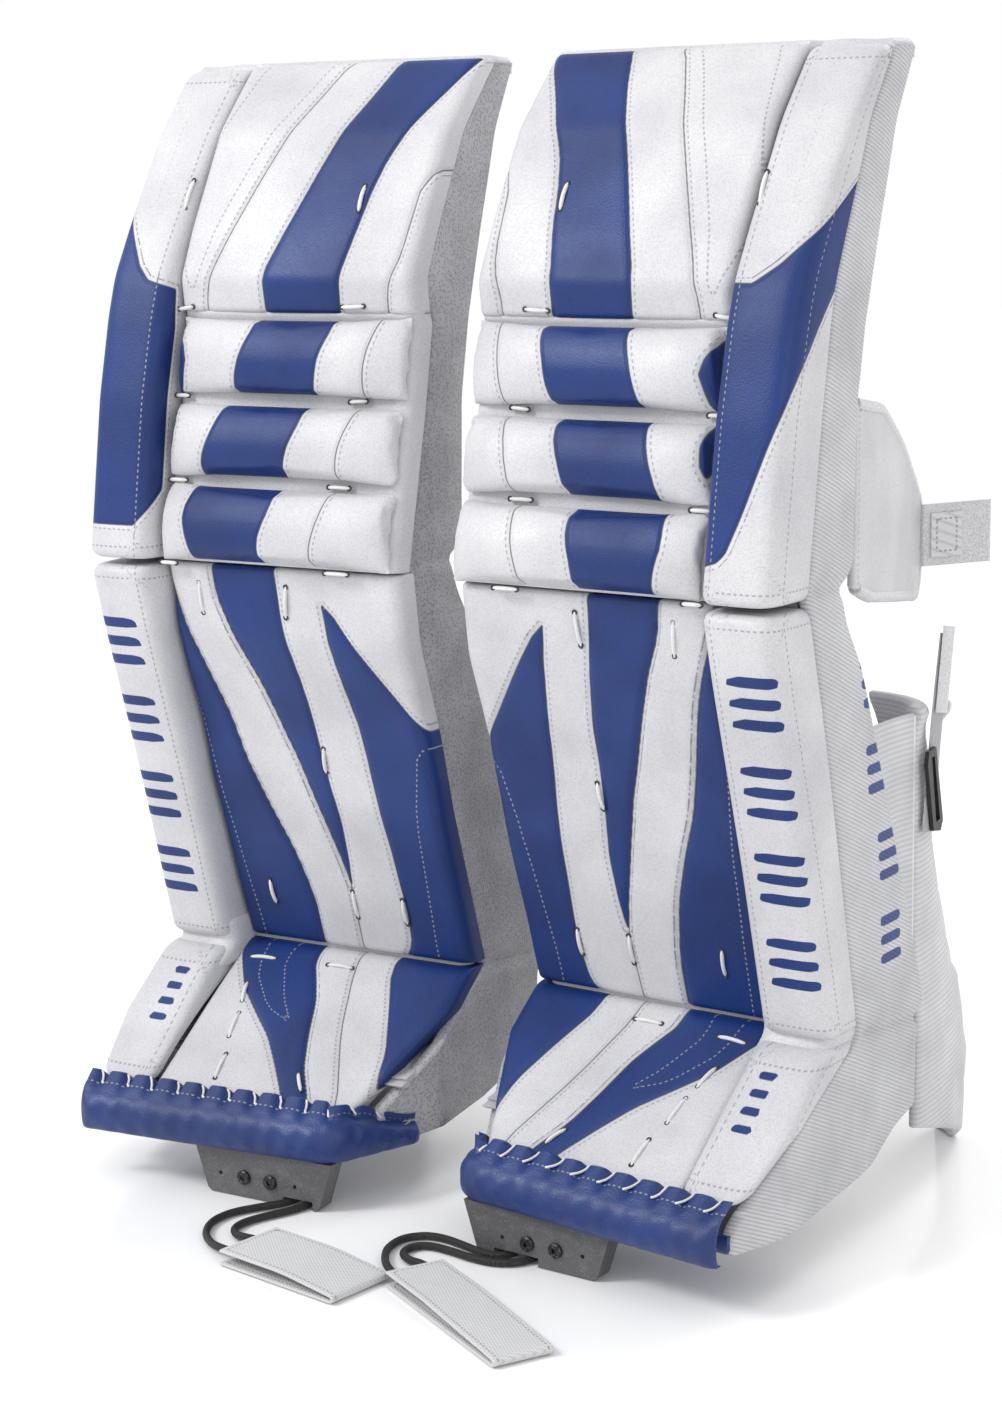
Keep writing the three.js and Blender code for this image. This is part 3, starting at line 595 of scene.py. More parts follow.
SHIN_BLUE = [
    [(-24, 520), (-27, 455), (-36, 400), (-38, 357), (-40, 325), (-44, 289), (-43, 253), (-40, 226), (-35, 254),
     (-24, 298), (-13, 343), (-7, 361), (6, 404), (20, 441), (33, 476), (37, 520)],
    [(-66, 483), (-142, 372), (-165, 340), (-165, 140), (-72, 140), (-73, 159), (-87, 180), (-90, 212), (-87, 274),
     (-83, 335), (-79, 381), (-70, 438)],
    [(83, 500), (71, 461), (59, 423), (48, 381), (38, 335), (27, 305), (11, 258), (2, 211), (2, 140), (110, 140),
     (110, 500)],
]
SHIN_PANEL = [[(-40, 226), (-37, 140), (2, 140), (2, 211), (11, 258), (27, 305), (38, 335), (48, 381), (59, 423),
               (71, 461), (83, 500), (83, 530), (37, 530), (33, 476), (20, 441), (6, 404), (-7, 361), (-13, 343),
               (-24, 298), (-35, 254)]]
SHIN_SEW = [[(60, 140), (62, 200), (70, 330), (76, 400), (110, 400), (110, 140)],
            [(-112, 140), (-112, 190), (-120, 300), (-132, 360), (-165, 360), (-165, 140)]]
BOOT_BLUE = [
    [(-72, 185), (-73, 158), (-91, 135), (-107, 112), (-113, 90), (-113, 40), (-175, 40), (-175, 185)],
    [(3, 185), (2, 157), (-9, 146), (-20, 134), (-31, 114), (-43, 96), (-60, 80), (-76, 60), (-76, 40), (-62, 40),
     (-53, 64), (-34, 82), (-15, 97), (4, 111), (30, 125), (52, 137), (76, 157), (110, 185)],
]
BOOT_PANEL = [[(-37, 185), (-38, 157), (-58, 120), (-88, 80), (-94, 40), (-76, 40), (-76, 60), (-60, 80), (-43, 96),
               (-31, 114), (-20, 134), (-9, 146), (2, 157), (3, 185)]]
BOOT_SEW = [[(20, 185), (30, 156), (10, 134), (-10, 120), (20, 128), (50, 148), (60, 185)]]

# (from, to) across and up the face, where the short lace stitches go
THIGH_LACES = [((-79, 797), (-79, 778)), ((87, 803), (88, 781)), ((-96, 706), (-76, 705)), ((66, 704), (80, 702))]
ROLL_LACES = [((-103, 634), (-88, 633)), ((66, 634), (78, 634)), ((-95, 568), (-76, 568)), ((60, 568), (76, 568)),
              ((-101, 503), (-80, 503)), ((62, 503), (77, 503))]
SHIN_LACES = [((-36, 488), (-33, 463)), ((48, 487), (47, 462)), ((-42, 352), (-40, 331)), ((43, 224), (42, 203)),
              ((-40, 224), (-40, 200)), ((-88, 222), (-88, 200))]
BOOT_LACES = [((-36, 157), (-12, 157)), ((40, 156), (64, 155)), ((-52, 84), (-42, 93)), ((28, 84), (31, 98)),
              ((38, 108), (42, 122)), ((46, 129), (52, 140))]


def laces(marks, face, lift=2.0, radius=1.6):
    """Short lace stitches over the face with a dark eyelet at each end."""
    threads, rings = [], []
    for (xa, za), (xb, zb) in marks:
        ends = [np.array([x, float(face(x, z)), z]) for x, z in ((xa, za), (xb, zb))]
        dy = float(face(xa, za + 2) - face(xa, za - 2)) / 4
        out = np.array([0, -1, dy]) / math.hypot(1, dy)
        t = np.linspace(0, 1, 13)[:, None]
        path = ends[0] * (1 - t) + ends[1] * t + out * (lift * np.sin(math.pi * t) ** 0.6 - 0.8)
        threads.append(tube(path, radius * (1 - 0.25 * (2 * t[:, 0] - 1) ** 4), 8))
        for e in ends:
            a = np.linspace(0, 2 * math.pi, 15)[:-1]
            side = np.cross(out, [1, 0, 0])
            ring = e + out * 0.3 + 2.0 * (np.cos(a)[:, None] * np.array([1, 0, 0]) + np.sin(a)[:, None] * side)
            hub = e + out * 0.2
            rings.append(ring_loft([hub + (ring - hub) * k + out * h for k, h in ((0.5, -0.9), (1, -0.9), (1.15, 0), (0.85, 0.4), (0.6, 0))]))
    return joined(threads), joined(rings)


# ---- swelling by cloth simulation ----
def inflate(shape, cap, voxel=0.0045, pressure=4.0):
    """The piece remeshed evenly, blown up a little as cloth, no point moving further than cap metres."""
    verts, faces = shape
    scene = bpy.context.scene
    mesh = bpy.data.meshes.new("swell")
    mesh.from_pydata((verts / 1000).tolist(), [], [list(f) for f in faces])
    obj = bpy.data.objects.new("swell", mesh)
    scene.collection.objects.link(obj)
    even = obj.modifiers.new("even", "REMESH")
    even.mode = "VOXEL"
    even.voxel_size = voxel
    obj.data = bpy.data.meshes.new_from_object(obj.evaluated_get(bpy.context.evaluated_depsgraph_get()))
    obj.modifiers.clear()
    start = np.array([v.co for v in obj.data.vertices], float)
    cloth = obj.modifiers.new("cloth", "CLOTH")
    cloth.settings.use_pressure = True
    cloth.settings.uniform_pressure_force = pressure
    cloth.settings.effector_weights.gravity = 0
    cloth.point_cache.frame_start = 1
    cloth.point_cache.frame_end = 20
    for f in range(1, 21):
        scene.frame_set(f)
    blown = obj.evaluated_get(bpy.context.evaluated_depsgraph_get())
    end = np.array([v.co for v in blown.data.vertices], float)
    obj.modifiers.clear()
    move = end - start
    far = np.linalg.norm(move, axis=1)[:, None]
    end = start + move * np.minimum(1, cap / np.maximum(far, 1e-9))
    obj.data.vertices.foreach_set("co", end.ravel())
    scene.frame_set(1)
    fine = obj.modifiers.new("fine", "SUBSURF")
    fine.levels = 1
    final = bpy.data.meshes.new_from_object(obj.evaluated_get(bpy.context.evaluated_depsgraph_get()))
    out = np.array([v.co for v in final.vertices], float) * 1000, [list(p.vertices) for p in final.polygons]
    bpy.data.objects.remove(obj)
    return out


def step_between(z, low, high):
    t = np.clip((np.asarray(z, float) - low) / (high - low), 0, 1)
    return t * t * (3 - 2 * t)


def whole(name):
    """One side profile over boot, shin and thigh."""
    def at(z):
        a, b = step_between(z, 148, 182), step_between(z, 485, 535)
        low = BOOT[name](z) * (1 - a) + SHIN[name](z) * a
        return low * (1 - b) + UPPER[name](z) * b
    return at


SEAM, EDGE, BACK, FACE, ROUND = (whole(n) for n in ("seam", "edge", "back", "face", "roll"))


# ---- padded shapes ----
def knee_roll(low, high):
    """Bolster across the knee: flat behind, crowned in front, its ends drawn in."""
    xa, xb = INNER + 2.5, ROLL - 2.0
    rings = []
    for u in np.linspace(0, 1, 34):
        full = 0.35 + 0.65 * (1 - abs(2 * u - 1) ** 7)
        t = 0.5 - 0.5 * np.cos(math.pi * np.linspace(0, 1, 22))
        h = low - 0.8 + (high - low + 1.6) * t
        crest = 3 + 18 * full * np.sin(math.pi * t) ** 0.6
        front = np.stack([np.full(22, xa + (xb - xa) * u), UPPER["face"](h) - crest, h], 1)
        behind = np.stack([front[::-7, 0], UPPER["face"](h[::-7]) - 1.0, h[::-7]], 1)
        rings.append(np.concatenate([front, behind]))
    return ring_loft(rings)


def outer_roll(roll, seam, z0, z1, ends=(9, 9), narrow=False):
    """Square-shouldered roll down the outer edge, and how far round from its inner shoulder each point is."""
    z = spaced(z0, z1, 3.2, 12)
    t = np.linspace(0, math.pi, 81)
    rings, round_it = [], []
    for h in z:
        inset = float(fillet(h - z0, ends[0]) + fillet(z1 - h, ends[1]))
        back = float(seam(h)) - 0.8
        deep = back - float(roll(h)) - inset
        right = OUTER - 0.4 if not narrow else float(toe_x(roll(h))[1]) - 0.4
        a, b = ROLL + 1.6 + 0.4 * inset, right - 0.8 * inset
        x = (a + b) / 2 - (b - a) / 2 * np.sign(np.cos(t)) * np.abs(np.cos(t)) ** 0.34
        y = back - deep * np.abs(np.sin(t)) ** 0.42
        y[1:-1] -= 1.2 * np.sin(math.pi * np.clip((x[1:-1] - a) / (b - a), 0, 1))
        ring = np.stack([x, y, np.full(len(t), h)], 1)
        arc = np.concatenate([[0], np.cumsum(np.linalg.norm(np.diff(ring, axis=0), axis=1))])
        rings.append(ring)
        round_it.append(ROLL + arc - deep)
    flat = np.concatenate([np.array(round_it).ravel(), [ROLL, ROLL]])
    return ring_loft(rings), flat


def roll_fields(shape, flat, ends, blue=(), ink=()):
    """Panel fields of a roll in (way round, z), with stitching beside its inner shoulder and at both ends."""
    z = shape[0][:, 2]
    b, run = distance(np.stack([flat, z], 1), blue)
    printed = distance(np.stack([flat, z], 1), ink)[0]
    lines = [(flat - (ROLL + 4.5)), (flat - (OUTER + 2)), (z - ends[0] - 10), (ends[1] - 10 - z)]
    nearest = np.abs(np.array(lines)).argmin(0)
    sew = np.choose(nearest, lines)
    way = np.where(nearest < 2, z, flat)
    way = np.where(np.abs(b + 3.6) < 2.5, run, way)
    return {"blue": b, "panel": np.full(len(z), -60.0), "sew": sew, "run": way, "ink": printed}


def gusset(sign, z0, z1, front, folds, thick=10.5):
    """Side wall of the pad from the front seam to the free back edge."""
    z = spaced(z0, z1, 4.5 if sign < 0 else 3.5, 9)
    lower = np.interp(z, [43, 54, 76, 88], [-39, 80, 122, 170])
    y0, y1 = front(z), np.minimum(EDGE(z), np.where(z < 90, lower, 400))
    u = spaced(0, 100, 3, 9) / 100
    Y = y0[None] + (y1 - y0)[None] * u[:, None]
    Z = np.broadcast_to(z, Y.shape).copy()
    inner, outer = toe_x(Y)
    wall = outer if sign > 0 else -inner
    d_front, d_back = Y - y0[None], y1[None] - Y
    d = np.minimum(np.minimum(d_front, d_back), np.minimum(Z - z0 + 4, z1 + 4 - Z))
    drop = fillet(d_front, 5) + fillet(d_back, 5)
    bulge = 1.6 * np.sin(math.pi * np.clip(u, 0, 1))[:, None] * np.ones_like(Y)
    for at, depth, width in folds:
        line = Z - at + 0.12 * (Y - 60)
        drop = drop + depth * np.exp(-(line / width) ** 2) * np.clip(d_front / 12, 0, 1)
        bulge = bulge + 0.5 * depth * np.exp(-((np.abs(line) - 2.4 * width) / (1.5 * width)) ** 2)
    X = wall - 0.6 - drop + bulge
    skin = np.stack([sign * X, Y, Z], -1)
    lining = np.stack([sign * (X - thick + 1.5 * drop.clip(0, 5)), Y, Z], -1)
    shape = slab(skin, lining)
    sew = np.concatenate([(d - 6).ravel()] * 2)
    run = np.concatenate([np.where(np.minimum(d_front, d_back) < 8, Z, Y).ravel()] * 2)
    return shape, {"sew": sew, "run": run}


def back_panel(part, z0, z1):
    """Quilted lining over the back of the foam, between the two side walls."""
    z = spaced(z0, z1, 4, 9)
    x = spaced(INNER + WALL, OUTER - WALL, 5, 9)
    X, Z = np.meshgrid(x, z, indexing="ij")
    quilt = np.abs(np.sin(math.pi * X / 62)) ** 0.35 * np.abs(np.sin(math.pi * (Z - z0) / 68)) ** 0.35
    edge = np.minimum(np.minimum(X - x[0], x[-1] - X), np.minimum(Z - z0, z1 - Z))
    Y = part["back"](Z) + 2.2 + 4.8 * quilt * np.clip(edge / 6, 0, 1)
    inside = np.stack([X, part["back"](Z) - 10, Z], -1)
    return slab(np.stack([X, Y, Z], -1), inside)


def cushion(surface, u_size, v_size, thick, channels, crown=0.6):
    """Crowned cushion on a surface: surface(u, v) is its base, thick its height; channels are sewn lines in u."""
    u, v = spaced(0, u_size, 4.5, 9) / u_size, spaced(0, v_size, 4.5, 9) / v_size
    U, V = np.meshgrid(u, v, indexing="ij")
    base = surface(U, V)
    edge = np.minimum(np.minimum(U, 1 - U) * u_size, np.minimum(V, 1 - V) * v_size)
    high = thick(U, V) * (1 - crown * fillet(edge, 14) / 14)
    for c in channels:
        high = high * (1 - 0.55 * np.exp(-(((U - c) * u_size) / 3.2) ** 2) * np.clip(edge / 16, 0, 1))
    top = base + np.stack([np.zeros_like(high), high, np.zeros_like(high)], -1)
    return slab(top, base)


def sheet_slab(surface, u_size, v_size, thick, radius, ribs=None):
    """Padded sheet with rounded borders; surface(u, v, t) gives the point t mm below its outer face."""
    u, v = spaced(0, u_size, 4.5, 9) / u_size, spaced(0, v_size, 4.5, 9) / v_size
    U, V = np.meshgrid(u, v, indexing="ij")
    edge = np.minimum(np.minimum(U, 1 - U) * u_size, np.minimum(V, 1 - V) * v_size)
    drop = fillet(edge, radius)
    if ribs is not None:
        drop = drop + ribs(U * u_size, V * v_size) * np.clip(edge / 8, 0, 1)
    outer, inner = surface(U, V, drop), surface(U, V, thick - np.minimum(drop, 0.45 * thick))
    run = np.where(np.minimum(U, 1 - U) * u_size < np.minimum(V, 1 - V) * v_size, V * v_size, U * u_size)
    fields = {"sew": np.concatenate([(edge - 5).ravel()] * 2), "run": np.concatenate([run.ravel()] * 2)}
    return slab(outer, inner), fields


def ribbon(path, width, thick, turn=None):
    """Flat tape along a path of (along, height) pairs."""
    path = np.asarray(path, float)
    t = np.gradient(path, axis=0)
    t /= np.linalg.norm(t, axis=1)[:, None]
    out = np.stack([-t[:, 1], t[:, 0]], 1)
    v = spaced(-width / 2, width / 2, 3, 9) if width > 20 else np.linspace(-width / 2, width / 2, 7)
    slim = thick / 2 * (1 - 0.55 * fillet(width / 2 - np.abs(v), 1.2) / 1.2)
    grids = []
    for s in (1, -1):
        p = path[:, None] + s * slim[None, :, None] * out[:, None]
        grids.append(np.stack([np.broadcast_to(v, p.shape[:2]), p[..., 0], p[..., 1]], -1))
    length = np.concatenate([[0], np.cumsum(np.linalg.norm(np.diff(path, axis=0), axis=1))])
    edge = (width / 2 - np.abs(v))[None] * np.ones((len(path), 1))
    ends = np.minimum(length, length[-1] - length)[:, None] * np.ones(len(v))
    sew = np.minimum(edge, ends) - 4
    run = np.where(edge < ends, length[:, None], v[None])
    fields = {"sew": np.concatenate([sew.ravel()] * 2), "run": np.concatenate([run.ravel()] * 2)}
    return slab(grids[0], grids[1]), fields, length[-1]


# ---- toe ties: the route's points as the CAD has them, not mirrored from pad to pad ----
TIES = {
    "left": {
        "path": [(-62, -76, 20), (-62, -78, 11.5), (-62, -83.5, 5.8), (-62.4, -92, 3.5), (-63, -102, 3.3),
                 (-65, -110.5, 3.2), (-70.5, -116, 3.2), (-80, -118.6, 3.2), (-104, -113.6, 3.2),
                 (-124, -110.5, 3.2), (-140, -114, 3.2), (-150.5, -128, 3.2), (-149, -149, 3.2),
                 (-137, -169, 3.6), (-121, -185.5, 5.8), (-103.4, -197, 6.2), (-86, -206.5, 6.4),
                 (-76.9, -208.1, 6.4), (-68.8, -203.9, 6.4), (-64.6, -195.8, 6.4), (-66.1, -186.7, 6.4),
                 (-72.6, -180.3, 6.4), (-90, -171.5, 6.2), (-106, -165.5, 5.8), (-119, -161, 4),
                 (-128, -156, 3.2), (-133.5, -150.5, 3.2), (-135.5, -143, 3.2), (-133.5, -135.5, 3.2),
                 (-128, -130, 3.2), (-119, -127.6, 3.2), (-103, -128.4, 3.2), (-84, -130.5, 3.2),
                 (-64, -128.5, 3.2), (-49.5, -118, 3.2), (-44.5, -104, 3.3), (-44, -92, 3.5),
                 (-44, -83.5, 5.8), (-44, -78, 11.5), (-44, -76, 20)],
        "tab": ((-98, -184), (50, -259), 48),
    },
    "right": {
        "path": [(63, -76, 20), (63, -78, 11.5), (63, -83.5, 5.8), (63, -92, 3.5), (63, -103, 3.3),
                 (58, -118, 3.2), (46, -134, 3.2), (35, -153, 3.2), (33, -175, 3.2), (42, -196, 3.2),
                 (57, -211, 3.6), (73, -221, 5.8), (90.9, -224.8, 6.2), (109.1, -228.1, 6.4),
                 (118.1, -226.9, 6.4), (124.7, -220.5, 6.4), (126.3, -211.5, 6.4), (122.4, -203.3, 6.4),
                 (114.3, -199, 6.4), (96.1, -195.7, 6.2), (79, -195, 5.8), (66, -189, 3.6),
                 (57, -179, 3.2), (56, -165, 3.2), (62, -148, 3.2), (71, -131, 3.2), (77, -117, 3.2),
                 (79, -103, 3.3), (79, -92, 3.5), (79, -83.5, 5.8), (79, -78, 11.5), (79, -76, 20)],
        "tab": ((92, -210), (208.6, -233.1), 60),
    },
}
CORD_R = 3.0


def lay_ties(pad, side):
    tie = TIES[pad]
    path = smooth_path(tie["path"], 260)
    cord = make("toe_cord", side, tube(path, CORD_R, 12), "boot", "cord", ["toe_cord"], mirrored=False)
    (ax, ay), (bx, by), width = tie["tab"]
    long = math.hypot(bx - ax, by - ay)
    bend = [(long - 5 + 4.4 * math.sin(a), 4.0 - 2.5 * math.cos(a)) for a in np.linspace(0.3, math.pi - 0.3, 7)]
    low = [(x, 1.5) for x in np.linspace(0, long - 6, 24)]
    top = [(x, float(np.interp(x, [0, 60, 72, long - 5], [11.6, 11.6, 10.9, 6.5]))) for x in np.linspace(long - 7, 0, 26)]
    shape, fields, run = ribbon(low + bend + top, width, 2.3)
    turn = math.atan2(by - ay, bx - ax) - math.pi / 2
    c, s = math.cos(turn), math.sin(turn)
    v = shape[0]
    placed = np.stack([c * v[:, 0] - s * v[:, 1] + ax, s * v[:, 0] + c * v[:, 1] + ay, v[:, 2]], 1)
    tab = make("toe_tab", side, (placed, shape[1]), "boot", "tape", ["toe_tab"], fields, mirrored=False)


# ---- the camera stands where the photographer stood, to the pads' left and a little above ----
def camera():
    cam = bpy.data.objects.new("camera", bpy.data.cameras.new("camera"))
    bpy.context.scene.collection.objects.link(cam)
    bpy.context.scene.camera = cam
    cam.data.lens, cam.data.sensor_width = 70.72, 36.0
    az, el, roll = (math.radians(a) for a in (32.48, 10.71, -0.80))
    back = Vector((math.sin(az) * math.cos(el), -math.cos(az) * math.cos(el), math.sin(el)))
    right = (-back).cross(Vector((0, 0, 1))).normalized()
    up = right.cross(-back)
    c, s = math.cos(roll), math.sin(roll)
    turned = Matrix((c * right + s * up, -s * right + c * up, back)).transposed()
    cam.matrix_world = Matrix.Translation((1.1632, -1.8721, 0.7993)) @ turned.to_4x4()


camera()
for pad, side in SIDES.items():
    lay_ties(pad, side)


# ---- one pad, from the thigh down ----
SWOLLEN = {}


def swollen(name, shape, cap):
    """The inflated shape, simulated once and used on both pads."""
    if name not in SWOLLEN:
        SWOLLEN[name] = inflate(shape, cap)
    return SWOLLEN[name]


def groove(field, width=2.6):
    return np.exp(-(field / width) ** 2)


def relief(z_map, blue, panel):
    """Shallow puffing of the panels between their seams."""
    def at(X, Z):
        flat = np.stack([X.ravel(), z_map(Z.ravel())], 1)
        out = np.zeros(X.size)
        for outlines in (blue, panel):
            lay = [[(x, float(z_map(z))) for x, z in o] for o in outlines]
            out += 1.5 * groove(distance(flat, lay)[0])
        flow = 0.8 * np.sin(X / 23 + np.sin(Z / 31)) * np.sin(Z / 27)
        return out.reshape(X.shape) + flow
    return at


def front_panels(side):
    """Thigh, shin and boot faces with their colour panels."""
    thigh_map = along_surface(THIGH_FACE, 680, 900)
    top = TOP_Z - 3
    shape = face_panel(lambda x, z: THIGH_FACE(z, 5), 699.5, top, 24, relief(thigh_map, THIGH_BLUE, THIGH_PANEL))
    fields = fields_at(shape[0], thigh_map, THIGH_BLUE, THIGH_PANEL, THIGH_SEW)
    make("thigh_face", side, shape, "upper", "panels", ["upper_cover", "upper_core"], fields)
    shin_map = along_surface(SHIN["face"], 150, 520)
    shape = face_panel(lambda x, z: SHIN["face"](z), 169, 502.5, 24, relief(shin_map, SHIN_BLUE, SHIN_PANEL))
    fields = fields_at(shape[0], shin_map, SHIN_BLUE, SHIN_PANEL, SHIN_SEW)
    make("shin_face", side, shape, "shin", "panels", ["shin_cover", "shin_core"], fields)

    def boot_face(x, z):
        nose = np.minimum(BOOT["face"](z, 3), 60)
        return nose - toe_skew(x, z)

    boot_map = along_surface(lambda z: BOOT["face"](z, 3), 40, 190)
    shape = face_panel(boot_face, 58, 165.5, 26, relief(boot_map, BOOT_BLUE, BOOT_PANEL), step=2.4,
                       x0=lambda z: toe_x(boot_face(0, z))[0] + 1.0, x1=lambda z: np.full(len(z), ROLL - 0.6))
    fields = fields_at(shape[0], boot_map, BOOT_BLUE, BOOT_PANEL, BOOT_SEW)
    make("boot_face", side, shape, "boot", "panels", ["boot_cover", "boot_core"], fields)
    lace_sets = (("thigh", "upper", THIGH_LACES, lambda x, z: THIGH_FACE(z, 5)),
                 ("knee", "upper", ROLL_LACES, lambda x, z: UPPER["face"](z) - 5.5),
                 ("shin", "shin", SHIN_LACES, lambda x, z: SHIN["face"](z)),
                 ("boot", "boot", BOOT_LACES, boot_face))
    for name, body, marks, face in lace_sets:
        threads, eyelets = laces(marks, face)
        make(f"{name}_laces", side, threads, body, "lace")
        make(f"{name}_eyelets", side, eyelets, body, "eyelet")
    return boot_face


# plain slanted bars stand in for the lettering
SHIN_MARKS = bars([(112, z, 20, 4.2) for z in (452, 436, 420, 384, 368, 352, 316, 300, 284, 248, 232, 216)])
BOOT_MARKS = bars([(100, z, 9, 2.3) for z in (148, 138, 128, 118)], 0.2)
WALL_MARKS = {
    "low": bars([(100 + k, z, 17, 4) for k, z in ((-2, 312), (0, 297), (2, 282), (4, 246), (5, 231), (6, 216))], -0.25),
    "high": bars([(76 - k, z, 17, 4) for k, z in ((8, 448), (5, 433), (2, 418), (-2, 382), (-4, 367), (-6, 352))],
                 -0.25),
}

ROLL_TRIANGLE = {
    "left": [[(60, 727), (100, 727), (180, 812), (230, 812), (188, 742), (163, 703), (137, 658), (124, 623),
              (106, 569), (93, 537), (60, 528)]],
    "right": [[(60, 716), (98, 727), (140, 789), (230, 812), (230, 533), (60, 533)]],
}


def rolls(side, pad):
    """The three knee rolls on their backing, and the outer rolls of thigh, shin and boot."""
    backing = face_panel(lambda x, z: UPPER["face"](z) - 1.5, KNEE_Z + 1, 702, 22, lambda x, z: 0 * x)
    fields = fields_at(backing[0], lambda z: z)
    make("knee_backing", side, backing, "upper", "panels", (), fields)
    for i, (low, high) in enumerate(KNEE_ROLLS):
        shape = swollen(f"knee_{i}", knee_roll(low, high), 0.004)
        fields = fields_at(shape[0], lambda z: z, ROLL_BLUE[i], ROLL_PANEL[i], [])
        n = f"knee_roll_{i + 1}"
        make(n, side, shape, "upper", "panels", [n], fields)
    shape, flat = outer_roll(UPPER["roll"], UPPER["seam"], KNEE_Z + 2, TOP_Z - 5)
    fields = roll_fields(shape, flat, (KNEE_Z + 2, TOP_Z - 5), blue=ROLL_TRIANGLE[pad])
    make("thigh_roll", side, shape, "upper", "panels", ["upper_outer_roll"], fields)
    shape, flat = outer_roll(SHIN["roll"], SHIN["seam"], 169.5, KNEE_Z - 3.5)
    fields = roll_fields(shape, flat, (169.5, KNEE_Z - 3.5), ink=SHIN_MARKS)
    make("shin_roll", side, shape, "shin", "panels", ["shin_outer_roll"], fields)
    shape, flat = outer_roll(BOOT["roll"], BOOT["seam"], 77, 164, narrow=True)
    fields = roll_fields(shape, flat, (77, 164), ink=BOOT_MARKS)
    make("boot_roll", side, shape, "boot", "panels", ["boot_outer_roll"], fields)


def ankle_fold(side):
    """Soft leather behind the bend between boot and shin, in front and round the outer roll."""
    ankle = ("boot", "shin", (0, -40, 152), (0, -40, 182))
    front = face_panel(lambda x, z: FACE(z) + 8, 150, 186, 12, lambda x, z: 0 * x,
                       x0=lambda z: np.full(len(z), INNER + 8), x1=lambda z: np.full(len(z), ROLL + 8))
    make("ankle_fold", side, front, ankle, "white")
    shape, _ = outer_roll(lambda z: ROUND(z) + 6, lambda z: SEAM(z) + 4, 148, 188)
    shape[0][:, 0] -= 4
    make("ankle_roll_fold", side, shape, ankle, "white")


def side_walls(side):
    """Grained inner and knitted outer side walls, each in two lengths, one across the ankle and one across the knee."""
    ankle = ("boot", "shin", (0, 60, 140), (0, 60, 196))
    knee = ("shin", "upper", (0, 10, 440), (0, 10, 566))
    folds = {"low": [(166, 3.0, 5)], "high": [(KNEE_Z, 3.0, 6)]}

    def outer_front(z):
        return SEAM(z) + 0.8

    def inner_front(z):
        return FACE(z) - toe_skew(INNER, z) + 23.5

    # the inner walls' grey leather colour is painted shade on what is white leather
    for wall, sign, front, material, slot in (("outer", 1, outer_front, "knit", "knit"),
                                              ("inner", -1, inner_front, "gusset", "white_leather")):
        for part, z0, z1, body in (("low", 43.5, 335, ankle), ("high", 335, TOP_Z - 6, knee)):
            shape, fields = gusset(sign, z0, z1, front, folds[part])
            fields["ink"] = distance(shape[0][:, 1:], WALL_MARKS[part] if sign > 0 else ())[0]
            make(f"{wall}_wall_{part}", side, shape, body, material, (), fields)


